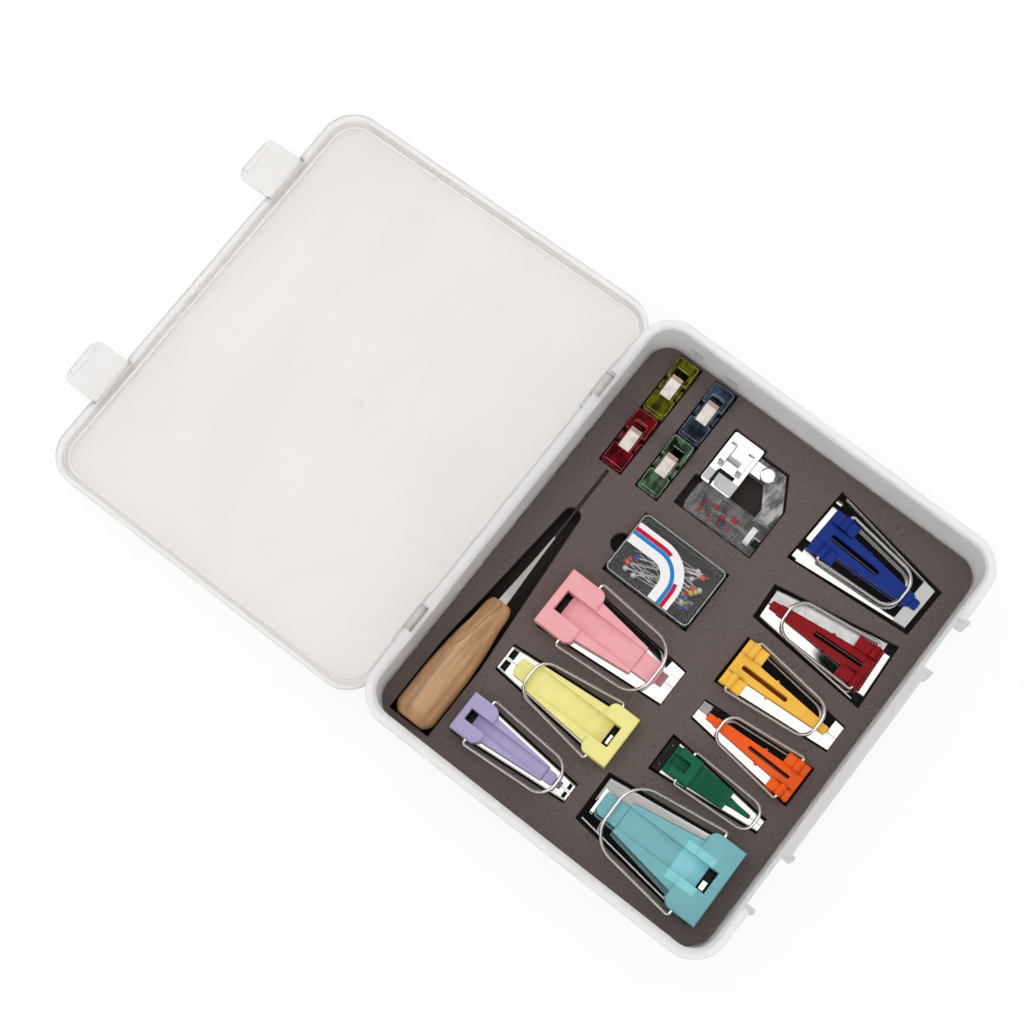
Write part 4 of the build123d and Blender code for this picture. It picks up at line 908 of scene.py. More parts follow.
@dataclass
class Studio:
    """Camera, floor, sky and lamp. Pairs in the sky are where a border begins and where it ends."""

    camera_place: Sequence[float] = (0.0408, -0.1451, 0.8642)
    camera_look: Sequence[float] = (-0.14864, 0.16677, -0.97473)
    camera_right: Sequence[float] = (0.78752, 0.61612, -0.01468)
    camera_reach: Sequence[float] = (0.01, 50)
    focal_length_mm: float = 71.86
    sensor_mm: float = 36.0
    floor_size: float = 8.0
    floor_gap: float = 0.05 * MM
    floor_colour: Sequence[float] = (0.9, 0.9, 0.9, 1)
    floor_roughness: float = 0.9
    floor_glow: float = 0.85
    room_light: float = 1.04
    panel_shine: float = 1.25
    side_shine: float = 0.5
    dark_shine: float = 0.012
    low_shine: float = 0.3
    panel_back: Sequence[float] = (0.33, 0.27)
    panel_front: Sequence[float] = (-0.17, -0.09)
    panel_side: Sequence[float] = (1.1, 0.8)
    gap_front: Sequence[float] = (0.27, 0.33)
    gap_back: Sequence[float] = (1.5, 1.2)
    low_border: Sequence[float] = (0.2, 0.65)
    horizon: Sequence[float] = (0.02, -0.02)
    least_height: float = 0.001
    key_power: float = 0.9
    key_size: float = 0.5
    key_place: Sequence[float] = (-0.55, 0.15, 0.75)

    def build(self) -> None:
        """Set up the picture."""
        self.add_camera()
        self.add_floor()
        self.add_sky()
        self.add_key()

    def add_camera(self) -> None:
        """Camera at the photograph's viewing angle."""
        data = bpy.data.cameras.new("camera")
        data.lens, data.sensor_width = self.focal_length_mm, self.sensor_mm
        data.clip_start, data.clip_end = self.camera_reach
        camera = add_object("camera", data)
        look, right = Vector(self.camera_look).normalized(), Vector(self.camera_right).normalized()
        turn = Matrix((right, right.cross(look), -look)).transposed().to_4x4()
        camera.matrix_world = Matrix.Translation(self.camera_place) @ turn
        bpy.context.scene.camera = camera
        bpy.context.scene.view_settings.view_transform = "Standard"

    def add_floor(self) -> None:
        """Pale floor that keeps the shadow."""
        blank = Blank()
        bmesh.ops.create_grid(blank.mesh, x_segments=1, y_segments=1, size=self.floor_size / 2,
                              matrix=Matrix.Translation((0, 0, -self.floor_gap)))
        floor = blank.to_object("floor")
        shader = Shader("floor_finish")
        shader.set(Base_Color=self.floor_colour, Roughness=self.floor_roughness, Specular_IOR_Level=0.0)
        glow = shader.node("ShaderNodeEmission", Strength=1.0)
        mix = shader.node("ShaderNodeMixShader")
        seen = shader.rays("Is Camera Ray", "Is Glossy Ray", "Is Transmission Ray")
        shader.link(shader.calc("MULTIPLY", seen, self.floor_glow), mix.inputs[0])
        shader.link(shader.surface.outputs[0], mix.inputs[1])
        shader.link(glow.outputs[0], mix.inputs[2])
        shader.link(mix.outputs[0], shader.tree.nodes["Material Output"].inputs["Surface"])
        floor.data.materials.append(shader.material)

    def add_sky(self) -> None:
        """Even room light, which gloss sees as a bright panel overhead between grey walls and a dark gap."""
        world = bpy.data.worlds.new("studio")
        world.use_nodes = True
        bpy.context.scene.world = world
        sky = Nodes(world.node_tree)
        way = sky.node("ShaderNodeSeparateXYZ")
        sky.link(sky.node("ShaderNodeTexCoord").outputs["Generated"], way.inputs[0])
        height = sky.calc("MAXIMUM", way.outputs["Z"], self.least_height)
        back = sky.calc("DIVIDE", way.outputs["Y"], height)
        side = sky.calc("ABSOLUTE", sky.calc("DIVIDE", way.outputs["X"], height))
        panel = sky.calc("MULTIPLY", sky.spread(back, *self.panel_back), sky.spread(back, *self.panel_front))
        panel = sky.calc("MULTIPLY", panel, sky.spread(side, *self.panel_side))
        gap = sky.calc("MULTIPLY", sky.spread(back, *self.gap_front), sky.spread(back, *self.gap_back))
        shine = sky.calc("MULTIPLY", panel, self.panel_shine - self.side_shine)
        shine = sky.calc("ADD", shine, self.side_shine)
        shine = sky.calc("MULTIPLY", shine, sky.spread(way.outputs["Z"], *self.low_border, self.low_shine))
        shine = sky.calc("MULTIPLY", shine, sky.calc("SUBTRACT", 1.0 + self.dark_shine, gap))
        extra = sky.calc("MULTIPLY", sky.rays("Is Glossy Ray"), sky.calc("SUBTRACT", shine, self.room_light))
        level = sky.calc("ADD", extra, self.room_light)
        below = sky.spread(way.outputs["Z"], *self.horizon)
        white = sky.calc("MAXIMUM", below, sky.rays("Is Camera Ray", "Is Transmission Ray"))
        rest = sky.calc("MULTIPLY", sky.calc("SUBTRACT", 1.0, white), level)
        background = sky.tree.nodes["Background"]
        sky.link(sky.calc("ADD", white, rest), background.inputs["Strength"])
        background.inputs["Color"].default_value = (1, 1, 1, 1)

    def add_key(self) -> None:
        """Soft lamp that gives the shapes a light side."""
        data = bpy.data.lights.new("key", "AREA")
        data.shape, data.size, data.energy = "DISK", self.key_size, self.key_power
        place = Vector(self.key_place)
        turn = (-place).to_track_quat("-Z", "Y").to_matrix().to_4x4()
        add_object("key", data).matrix_world = Matrix.Translation(place) @ turn


@dataclass
class Case:
    """Base, lid, latches and hinge pins of the milky case."""

    edge_round: float = 0.5 * MM
    lid_round: float = 0.5 * MM
    latch_round: float = 0.35 * MM
    notch_half: float = 8 * MM
    notch_depth: float = 6 * MM
    level_normal: float = 0.9
    wall_normal: float = 0.99
    bead: float = 0.6 * MM
    gate: Sequence[float] = (-172 * MM, -2 * MM)
    gate_radius: float = 2.2 * MM
    gate_height: float = 0.12 * MM
    gate_sides: int = 32
    mark_size: Sequence[float] = (6 * MM, 3.4 * MM)
    mark_relief: float = 0.3 * MM
    marks: Sequence[Sequence[float]] = ((-67 * MM, 28 * MM), (-48 * MM, 26 * MM))

    def build(self) -> None:
        """Round the shells and add the moulded marks."""
        self.add_base()
        self.add_marks()
        dress_node("case_lid", LID_PLASTIC, self.lid_round)
        self.add_lid_details()
        for node in ("front_latch_a", "front_latch_b"):
            dress_node(node, LATCH_PLASTIC, self.latch_round)
        dress_node("hinge_pins", HINGE_STEEL)

    def add_base(self) -> None:
        """Copy the base and round the edges of its rim and its foot, but for those at the hinge notches."""
        low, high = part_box("case_base")
        stations = [abs(corner.y) for corner in corners("hinge_pins")]
        middle = (min(stations) + max(stations)) / 2
        blank = Blank()
        blank.copy_node("case_base")

        def rounded(edge: bmesh.types.BMEdge) -> bool:
            """Choose the edges of the rim's top and the foot, clear of the notches.

            Args:
                edge: one of the base's sharp edges.

            Returns:
                Whether it is rounded.
            """
            spots = [corner.co for corner in edge.verts]
            level = any(all(abs(spot.z - z) < LEVEL_ROOM for spot in spots) for z in (low.z, high.z))
            notched = any(spot.x < low.x + self.notch_depth and abs(abs(spot.y) - middle) < self.notch_half
                          for spot in spots)
            return level and not notched

        blank.round([edge for edge in blank.sharp_edges() if rounded(edge)], self.edge_round)
        blank.piece("case_shell", LIT_BASE_PLASTIC, "base", "case_plastic", ["case_base"])

    def add_marks(self) -> None:
        """Two low plates moulded on the inside of the back wall."""
        inside = [face for face in frame["nodes"]["case_base"].data.polygons
                  if face.normal.y < -self.wall_normal and face.center.y > 0 and face.center.z > 0]
        wall = max(inside, key=lambda face: face.area)
        wide, tall = self.mark_size
        half = Vector((wide / 2, self.mark_relief, tall / 2))
        blank = Blank()
        for x, z in self.marks:
            y = wall.center.y - (z - wall.center.z) * wall.normal.z / wall.normal.y
            spot = Vector((x, y, z))
            blank.box(spot - half, spot + half, self.mark_relief / 2)
        blank.piece("case_wall_marks", CASE_PLASTIC, "base", "case_plastic")

    def add_lid_details(self) -> None:
        """Round bead along the inner edge of the lid's floor, and the mark of its moulding gate."""
        upward = [face for face in frame["nodes"]["case_lid"].data.polygons
                  if face.normal.z > self.level_normal]
        floor = max(upward, key=lambda face: face.area)
        up = floor.normal.copy()
        along = Vector((up.z, 0, -up.x))
        place = Matrix((along, Vector((0, 1, 0)), up)).transposed().to_4x4()
        place.translation = floor.center
        turned = place.inverted()
        spots = [turned @ corner for corner in corners("case_lid")]
        level = [spot for spot in spots if abs(spot.z) < LEVEL_ROOM]
        low = Vector((min(s.x for s in level), min(s.y for s in level)))
        high = Vector((max(s.x for s in level), max(s.y for s in level)))
        corner = high.y - max(s.y for s in level if s.x < low.x + LEVEL_ROOM)
        inset = Vector((1, 1)) * self.bead / 2
        blank = Blank(place)
        blank.loop(low + inset, high - inset, corner, self.bead / 2, self.bead)
        blank.piece("lid_inner_bead", CASE_GLOSS, "lid", "case_plastic")
        spot = turned @ Vector((*self.gate, floor.center.z))
        blank = Blank(place)
        blank.rod((spot.x, spot.y, -self.gate_height), (spot.x, spot.y, self.gate_height), self.gate_radius,
                  segments=self.gate_sides)
        blank.piece("lid_gate_mark", GATE_PLASTIC, "lid", "case_plastic")


@dataclass
class FoamTray:
    """Foam insert with softened pocket edges."""

    edge_round: float = 0.3 * MM

    def build(self) -> None:
        """Copy the slab and soften its top edges."""
        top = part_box("foam_insert")[1].z
        blank = Blank()
        blank.copy_node("foam_insert")
        rim = [edge for edge in blank.sharp_edges()
               if all(abs(corner.co.z - top) < LEVEL_ROOM for corner in edge.verts)]
        blank.round(rim, self.edge_round, clamp=False)
        foam = blank.piece("foam", FOAM, "base", "foam", ["foam_insert"])


@dataclass(frozen=True)
class Flange:
    """How one flange of a folder leans, in degrees, outwards where it is above 0."""

    outer: float = 0.0
    inner: float = 0.0
    crease: float = 0.55
    crease_end: float = 0.55
    fade: float = 1.0


class Entry(Enum):
    """What lies across a folder's wide end."""

    PLAIN = "plain"
    ROLLED = "rolled"
    BLACK_BAR = "black bar"


class Tip(Enum):
    """What lies in front of a guide's tip."""

    PLAIN = "plain"
    TAB = "tab"
    BAR = "bar"


@dataclass
class TapeMaker:
    """One tape maker: a bright folder, a coloured guide and a wire bail.

    Names that end in _share are shares of half the folder's width or, for tab_reach_share, of the room in
    front of the guide's tip.
    """

    name: str
    colour: Colour
    plus: Flange = Flange()
    minus: Flange = Flange()
    entry: Entry = Entry.PLAIN
    strip: Sequence[float] = (-0.8, 0.8)
    tabs: Sequence[Sequence[float]] = ()
    tip: Tip = Tip.PLAIN
    end_zone: Optional[float] = None
    end_window: float = 0.0
    satin_or_shaded_side: int = 0
    satin_or_shaded_end: bool = False
    satin_or_shaded: Finish = SATIN
    hems: Sequence[int] = ()
    hem_radius: float = 0.22 * MM
    slot_highlight: float = 0.0
    # panel of painted light on the guide: first, last, left and right in mm
    panel_mm: Sequence[float] = ()
    glint_mm: Sequence[float] = ()
    sheet: float = 0.5 * MM
    seam: float = 0.1 * MM
    seam_bar: float = 0.55 * MM
    corner_round: float = 0.7 * MM
    guide_round: float = 0.22 * MM
    end_margin: float = 0.9 * MM
    slot_room: float = 1.1 * MM
    wire_radius: float = 0.3 * MM
    # finish of the sheet of painted shade on the folder's floor
    shade_sheet: Finish = BLACK_PLASTIC_AND_SHADE
    fold_steps: int = 5
    fold_angle: float = math.radians(50)
    fold_segments: int = 4
    roll_reach: Sequence[float] = (0.1 * MM, 0.3 * MM)
    roll_round: float = 0.4 * MM
    roll_segments: int = 3
    pin_share: float = 0.6
    pin_radius: float = 0.35 * MM
    tab_reach_share: float = 0.42
    tab_share: float = 0.34
    tab_height: Sequence[float] = (0.02 * MM, 0.5 * MM)
    trim_round: float = 0.2 * MM
    tab_shade: float = 0.72
    bar_reach: Sequence[float] = (0.1 * MM, 1.7 * MM)
    bar_share: float = 0.55
    bar_height: float = 0.8 * MM
    bar_round: float = 0.3 * MM
    local: LocalFrame = field(init=False)
    body: str = field(init=False)
    low: float = field(init=False)
    high: float = field(init=False)
    start: float = field(init=False)
    end: float = field(init=False)
    lip: float = field(init=False)
    halves: tuple[float, float] = field(init=False)
    gaps: tuple[float, float] = field(init=False)
    guide_end: float = field(init=False)
    bend: float = field(init=False)

    def build(self) -> None:
        """Make the folder and its small parts, and dress the guide and the bail."""
        hinge = joint(f"{self.name}_bail_hinge")
        axis = Vector(hinge["axis"])
        self.local = LocalFrame(Vector(hinge["pos_m"]), Vector((-axis.y, axis.x, 0)))
        self.body = f"{self.name}_maker"
        self.measure()
        self.add_folder()
        self.add_hems()
        self.add_shade_sheet()
        self.add_entry()
        self.add_tip()
        self.add_glint()
        self.add_slot_highlight()
        dress_node(f"{self.name}_guide", self.plastic(), self.guide_round)
        dress_node(f"{self.name}_bail", WIRE)

    def plastic(self) -> MouldedPlastic:
        """Mix the guide's finish, with its panel of painted light where it has one.

        Returns:
            The finish.
        """
        plain = MouldedPlastic(f"{self.name}_plastic_finish", self.colour)
        if not self.panel_mm:
            return plain
        first, last, left, right = (value * MM for value in self.panel_mm)
        return replace(plain, pale_place=self.local.matrix, pale_low=(self.start + first, left),
                       pale_high=(self.start + last, right))

    def measure(self) -> None:
        """Read the folder's and the guide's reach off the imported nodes."""
        points = self.local.points(f"{self.name}_folder")
        self.low, self.high = min(p.z for p in points), max(p.z for p in points)
        self.start, self.end = min(p.x for p in points), max(p.x for p in points)
        tops = [p for p in points if p.z > self.high - self.sheet / 2]
        self.lip = min(p.x for p in tops)
        near_lip = [abs(p.y) for p in tops if p.x < self.lip + self.sheet / 4]
        near_end = [abs(p.y) for p in tops if p.x > self.end - self.sheet / 4]
        self.halves = max(near_lip), max(near_end)
        self.gaps = min(near_lip), min(near_end)
        self.guide_end = max(p.x for p in self.local.points(f"{self.name}_guide"))
        self.bend = self.guide_end + self.sheet / 2 if self.end_zone is None else self.end - self.end_zone

    def blank(self) -> Blank:
        """A blank in the tape maker's own frame."""
        return Blank(self.local.matrix)

    def half(self, u: float) -> float:
        """Half the folder's width at u."""
        return self.halves[0] + (self.halves[1] - self.halves[0]) * (u - self.lip) / (self.end - self.lip)

    def section(self, u: float) -> list[Vector]:
        """Open outline of the folder's sheet.

        Args:
            u: where along the folder.

        Returns:
            Points from one flange's inner edge, down and round to the other's.
        """
        share = (u - self.lip) / (self.end - self.lip)
        half = self.half(u)
        gap = self.gaps[0] + (self.gaps[1] - self.gaps[0]) * share
        closed = u > self.bend
        rows = []
        for flange in (self.plus, self.minus):
            lean = 0.0 if closed else 1 + (flange.fade - 1) * share
            inner = self.seam if closed else gap
            fold = flange.crease + (flange.crease_end - flange.crease) * share
            crease = half - self.end_margin if closed else gap + (half - gap) * fold
            bar = inner + min(self.seam_bar, (crease - inner) / 2)
            fall = [math.tan(math.radians(flange.inner * lean)) * (v - inner) for v in (inner, bar, crease)]
            fall.append(fall[2] + math.tan(math.radians(flange.outer * lean)) * (half - crease))
            top = self.high + min(fall)
            rows.append([(v, top - drop) for v, drop in zip((inner, bar, crease, half), fall)])
        plus, minus = rows
        near = [Vector((u, v, z)) for v, z in plus]
        floor = [Vector((u, half, self.low)), Vector((u, -half, self.low))]
        return near + floor + [Vector((u, -v, z)) for v, z in reversed(minus)]

    def add_folder(self) -> None:
        """Bent sheet with leaning flanges that close to a seam, and any windows at its end."""
        steps = self.fold_steps
        stations = [self.lip + (self.bend - self.lip) * index / steps for index in range(steps + 1)]
        stop = self.end - self.end_margin
        if self.bend < stop:
            stations.append(self.bend + self.sheet / 4)
            if self.end_window:
                stations += [stop - self.end_window, stop]
            stations.append(self.end)
        blank = self.blank()
        faces = blank.strip([self.section(u) for u in stations])
        floor = min(faces, key=lambda face: face.calc_center_median().z)
        floor.normal_update()
        if floor.normal.z > 0:
            bmesh.ops.reverse_faces(blank.mesh, faces=faces)
        if self.end_window:
            self.cut_windows(blank, stop - self.end_window / 2)
        blank.round(blank.sharp_edges(self.fold_angle), self.corner_round, self.fold_segments)
        bmesh.ops.solidify(blank.mesh, geom=blank.mesh.faces[:], thickness=self.sheet)
        for face in blank.mesh.faces:
            # the chosen side or the end takes the second finish: rougher satin nickel, or for orange a
            # darker grey of painted reflection
            spot = face.calc_center_median()
            on_side = not self.satin_or_shaded_side or self.satin_or_shaded_side * spot.y > 0
            at_end = not self.satin_or_shaded_end or spot.x > self.bend
            face.material_index = int(on_side and at_end and (self.satin_or_shaded_end or self.satin_or_shaded_side != 0))
        node = f"{self.name}_folder"
        blank.piece(f"{node}_sheet", NICKEL, self.body, "nickel_sheet", [node], self.satin_or_shaded)

    def add_hems(self) -> None:
        """Thin rolled edges along the folder's sides."""
        if not self.hems:
            return
        blank = self.blank()
        for side in self.hems:
            ends = [(u, side * (self.half(u) - self.hem_radius), self.high - self.hem_radius / 2)
                    for u in (self.lip, self.end)]
            blank.rod(*ends, self.hem_radius)
        blank.piece(f"{self.name}_hems", WIRE, self.body, "nickel_sheet")

    def cut_windows(self, blank: Blank, middle: float) -> None:
        """Open both flanges near the narrow end.

        Args:
            blank: the folder's sheet.
            middle: where along the folder the windows lie.
        """
        half = self.half(middle)
        centre = (half - self.end_margin + self.seam) / 2
        cut = []
        for face in blank.mesh.faces:
            spot = face.calc_center_median()
            on_top = spot.z > self.high - self.sheet
            if on_top and abs(spot.x - middle) < self.sheet and abs(abs(spot.y) - centre) < half / 4:
                cut.append(face)
        bmesh.ops.delete(blank.mesh, geom=cut, context="FACES")

    def add_shade_sheet(self) -> None:
        """Dark strip of painted shade along the folder's floor."""
        # painted shade: a dark sheet on the folder's floor makes the trough, its windows and its slot look
        # shaded
        room = 2 * self.sheet
        low, high = self.low + self.sheet, self.low + 1.5 * self.sheet
        near, far = self.start + room, self.end - self.sheet
        first, last = self.half(self.lip) - room, self.half(self.end) - room
        blank = self.blank()
        blank.prism(((near, -first), (far, -last), (far, last), (near, first)), low, high)
        blank.piece(f"{self.name}_liner", self.shade_sheet, self.body, "nickel_sheet")

    def add_entry(self) -> None:
        """Rolled edge or black bar across the wide end."""
        half = self.half(self.lip)
        low, high = self.low + self.sheet, self.high + self.sheet
        if self.entry is Entry.ROLLED:
            blank = self.blank()
            before, behind = self.roll_reach
            for first, last in (self.strip, *self.tabs):
                blank.box((self.start + before, first * half, low),
                          (self.lip + behind, last * half, self.high - self.sheet), self.roll_round,
                          self.roll_segments)
            blank.piece(f"{self.name}_rolled_edge", NICKEL, self.body, "nickel_sheet")
        if self.entry is Entry.BLACK_BAR:
            blank = self.blank()
            blank.box((self.start, -half, low), (self.lip, half, high), self.roll_round)
            blank.piece(f"{self.name}_entry_bar", BLACK_PLASTIC_AND_SHADE, self.body, f"{self.name}_plastic")
            blank = self.blank()
            middle = (self.start + self.lip) / 2
            for share in (-self.pin_share, self.pin_share):
                blank.ball((middle, share * half, high), self.pin_radius)
            blank.piece(f"{self.name}_entry_pins", NICKEL, self.body, "nickel_sheet")

    def add_tip(self) -> None:
        """Small tab of plastic or bar of metal in front of the guide's tip."""
        half = self.half(self.guide_end)
        if self.tip is Tip.TAB:
            blank = self.blank()
            reach = self.guide_end + (self.end - self.guide_end) * self.tab_reach_share
            side = self.tab_share * half
            low, high = (self.high + height for height in self.tab_height)
            blank.box((self.guide_end, -side, low), (reach, side, high), self.trim_round)
            dark = MouldedPlastic(f"{self.name}_tab_finish", shaded(self.colour, self.tab_shade))
            blank.piece(f"{self.name}_tip_tab", dark, self.body, f"{self.name}_plastic")
        if self.tip is Tip.BAR:
            blank = self.blank()
            near, far = (self.guide_end + reach for reach in self.bar_reach)
            side = self.bar_share * half
            blank.box((near, -side, self.high), (far, side, self.high + self.bar_height), self.bar_round)
            blank.piece(f"{self.name}_tip_bar", NICKEL, self.body, "nickel_sheet")

    def add_glint(self) -> None:
        """Bright end of the folder's inner strip, seen in the guide's window."""
        if not self.glint_mm:
            return
        first, last, left, right = (value * MM for value in self.glint_mm)
        blank = self.blank()
        blank.box((self.start + first, left, self.high - self.sheet), (self.start + last, right, self.high),
                  self.trim_round)
        blank.piece(f"{self.name}_inner_strip", NICKEL, self.body, "nickel_sheet")

    def add_slot_highlight(self) -> None:
        """Thin grey metal rod along the guide's slot, a painted highlight for the lit edge of the folder's
        inner strip.
        """
        if not self.slot_highlight:
            return
        points = self.local.points(f"{self.name}_guide")
        top = max(p.z for p in points if abs(p.y) < self.slot_room)
        slot = [p.x for p in points if abs(p.y) < self.slot_room and p.z > top - self.sheet]
        v, z = self.slot_highlight, top - 3 * self.wire_radius
        # painted highlight: the rod draws the bright line along the slot
        blank = self.blank()
        blank.rod((min(slot) - self.sheet, v, z), (max(slot) + self.sheet, v, z), self.wire_radius)
        blank.piece(f"{self.name}_slot_highlight", SLOT_HIGHLIGHT_STEEL, self.body, "nickel_sheet")


@dataclass
class Awl:
    """Wooden awl with a sawn flat on its handle."""

    flat_way: Sequence[float] = (-0.631, 0.191, 0.752)
    flat_normal: float = 0.999
    line_radius: float = 0.1 * MM
    line_sides: int = 6
    spot_digits: int = 7
    blade_mm: Sequence[Sequence[float]] = ((0, 0), (0, 1.6), (24, 2.1), (31, 1.75), (39, 1.3), (51, 0.72),
                                           (62, 0.34), (97.6, 0.16), (98, 0))
    blade_sides: int = 4
    bright_reach: float = 62 * MM

    def build(self) -> None:
        """Dress the handle and its flat, and make the blade."""
        handle = dress_node("awl_handle", WOOD)
        handle.data.materials.append(BARE_WOOD.material())
        way = Vector(self.flat_way)
        flat = [face for face in handle.data.polygons if face.normal.dot(way) > self.flat_normal]
        for face in flat:
            face.material_index = 1
        self.line_flat(handle.data, flat)
        self.add_blade()

    def add_blade(self) -> None:
        """Square blade that widens towards the handle, with a dull tip."""
        low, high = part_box("awl_blade")
        middle = (low + high) / 2
        blank = Blank()
        line = [blank.mesh.verts.new((middle.x + half * MM, low.y + along * MM, middle.z + half * MM))
                for along, half in self.blade_mm]
        edges = [blank.mesh.edges.new(pair) for pair in zip(line, line[1:])]
        bmesh.ops.spin(blank.mesh, geom=line + edges, cent=middle, axis=(0, 1, 0), angle=math.tau,
                       steps=self.blade_sides, use_merge=True)
        bmesh.ops.remove_doubles(blank.mesh, verts=blank.mesh.verts, dist=WELD_DISTANCE)
        bmesh.ops.recalc_face_normals(blank.mesh, faces=blank.mesh.faces)
        for face in blank.mesh.faces:
            face.material_index = int(face.calc_center_median().y > low.y + self.bright_reach)
        blank.piece("awl_blade_ground", STEEL, "awl", "blade_steel", ["awl_blade"], BLADE_TIP)

    def line_flat(self, data: bpy.types.Mesh, flat: list[bpy.types.MeshPolygon]) -> None:
        """Draw the thin dark line round the flat.

        Args:
            data: the handle's mesh.
            flat: the flat's faces.
        """
        count: dict[tuple, int] = {}
        for face in flat:
            for key in face.edge_keys:
                spots = (data.vertices[index].co for index in key)
                ends = tuple(sorted(tuple(round(c, self.spot_digits) for c in spot) for spot in spots))
                count[ends] = count.get(ends, 0) + 1
        blank = Blank()
        for ends, times in count.items():
            if times == 1:
                blank.rod(*ends, self.line_radius, segments=self.line_sides)
        blank.piece("awl_flat_line", WOOD_LINE, "awl", "handle_wood")


@dataclass
class SewingClip:
    """Spring clip of tinted plastic."""

    name: str
    colour: Colour
    edge_round: float = 0.42 * MM
    edge_highlight_pale: float = 0.25
    spring_round: float = 0.1 * MM
    spring_flex: Sequence[float] = (1 * MM, 4 * MM)
    lever: float = 2.1 * MM
    fold: float = 1.7 * MM
    fold_height: Sequence[float] = (0.5 * MM, 0.75 * MM)
    line: float = 0.22 * MM
    line_height: float = 0.15 * MM
    ridge_highlight_pale: float = 0.5
    nose_line: float = 1.7 * MM
    nose_share: float = 0.8
    window: float = 3.5 * MM
    slope: Matrix = field(init=False)
    band_end: float = field(init=False)
    middle: float = field(init=False)
    half: float = field(init=False)
    spring_half: float = field(init=False)
    spring_foot: Vector = field(init=False)

    def build(self) -> None:
        """Dress the two jaws and the spring, and add the fold and the pale ridges of painted highlight."""
        plastic = TintedPlastic(f"{self.name}_clip_finish", self.colour, clearness=0.7, streaks=0.4,
                                streak_size=3 * MM, bend=1.2)
        # painted highlight: the jaws' rounded edges take a paler, less clear copy of the tint, which lights
        # them like edge-lit glass
        pale = paled(self.colour, self.edge_highlight_pale)
        edge = TintedPlastic(f"{self.name}_clip_edge_highlight_finish", pale, clearness=0.3, streaks=0.25, bend=1.3)
        for node in (f"clip_{self.name}_lower", f"clip_{self.name}_upper"):
            dress_node(node, plastic, self.edge_round, edge=edge)
        self.measure()
        self.add_spring()
        self.add_fold()
        self.add_ridges()

    def measure(self) -> None:
        """Read the upper jaw's slope and the spring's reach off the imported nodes."""
        low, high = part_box(f"clip_{self.name}_upper")
        spring_low, spring_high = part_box(f"clip_{self.name}_spring")
        rise = math.atan2(high.z - low.z - self.lever, high.y - low.y)
        self.slope = Matrix.Translation((0, low.y, low.z + self.lever)) @ Matrix.Rotation(rise, 4, "X")
        self.band_end = (spring_high.y - low.y) / math.cos(rise)
        self.middle, self.half = (low.x + high.x) / 2, (high.x - low.x) / 2
        self.spring_half, self.spring_foot = (spring_high.x - spring_low.x) / 2, spring_low

    def add_spring(self) -> None:
        """Copy the spring with its edges rounded, as a piece of no body."""
        node = f"clip_{self.name}_spring"
        blank = Blank()
        blank.copy_node(node)
        blank.round(blank.sharp_edges(), self.spring_round)
        band = blank.piece(f"clip_{self.name}_band", SPRING_STEEL, None, "spring_steel", [node])
        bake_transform(band)

    def add_fold(self) -> None:
        """Turned-down end of the spring."""
        low, high = self.fold_height
        blank = Blank(self.slope)
        blank.box((self.middle - self.spring_half, self.band_end - self.fold, low),
                  (self.middle + self.spring_half, self.band_end, high), self.spring_round)
        blank.piece(f"clip_{self.name}_fold", SPRING_FOLD, f"{self.name}_clip_jaw", "spring_steel")

    def add_ridges(self) -> None:
        """Thin ridges across the lever, in a pale tint that paints the highlight they catch."""
        # painted highlight: the ridges' tint is brought halfway to white
        light = TintedPlastic(f"{self.name}_ridge_highlight_finish", paled(self.colour, self.ridge_highlight_pale), clearness=0.3,
                              streaks=0.05)
        blank = Blank(self.slope)
        for along, half in ((self.nose_line, self.nose_share * self.half),
                            (self.band_end + self.window, self.spring_half)):
            blank.box((self.middle - half, along, 0),
                      (self.middle + half, along + self.line, self.line_height))
        blank.piece(f"clip_{self.name}_ridges", light, f"{self.name}_clip_jaw", f"{self.name}_clip_plastic")


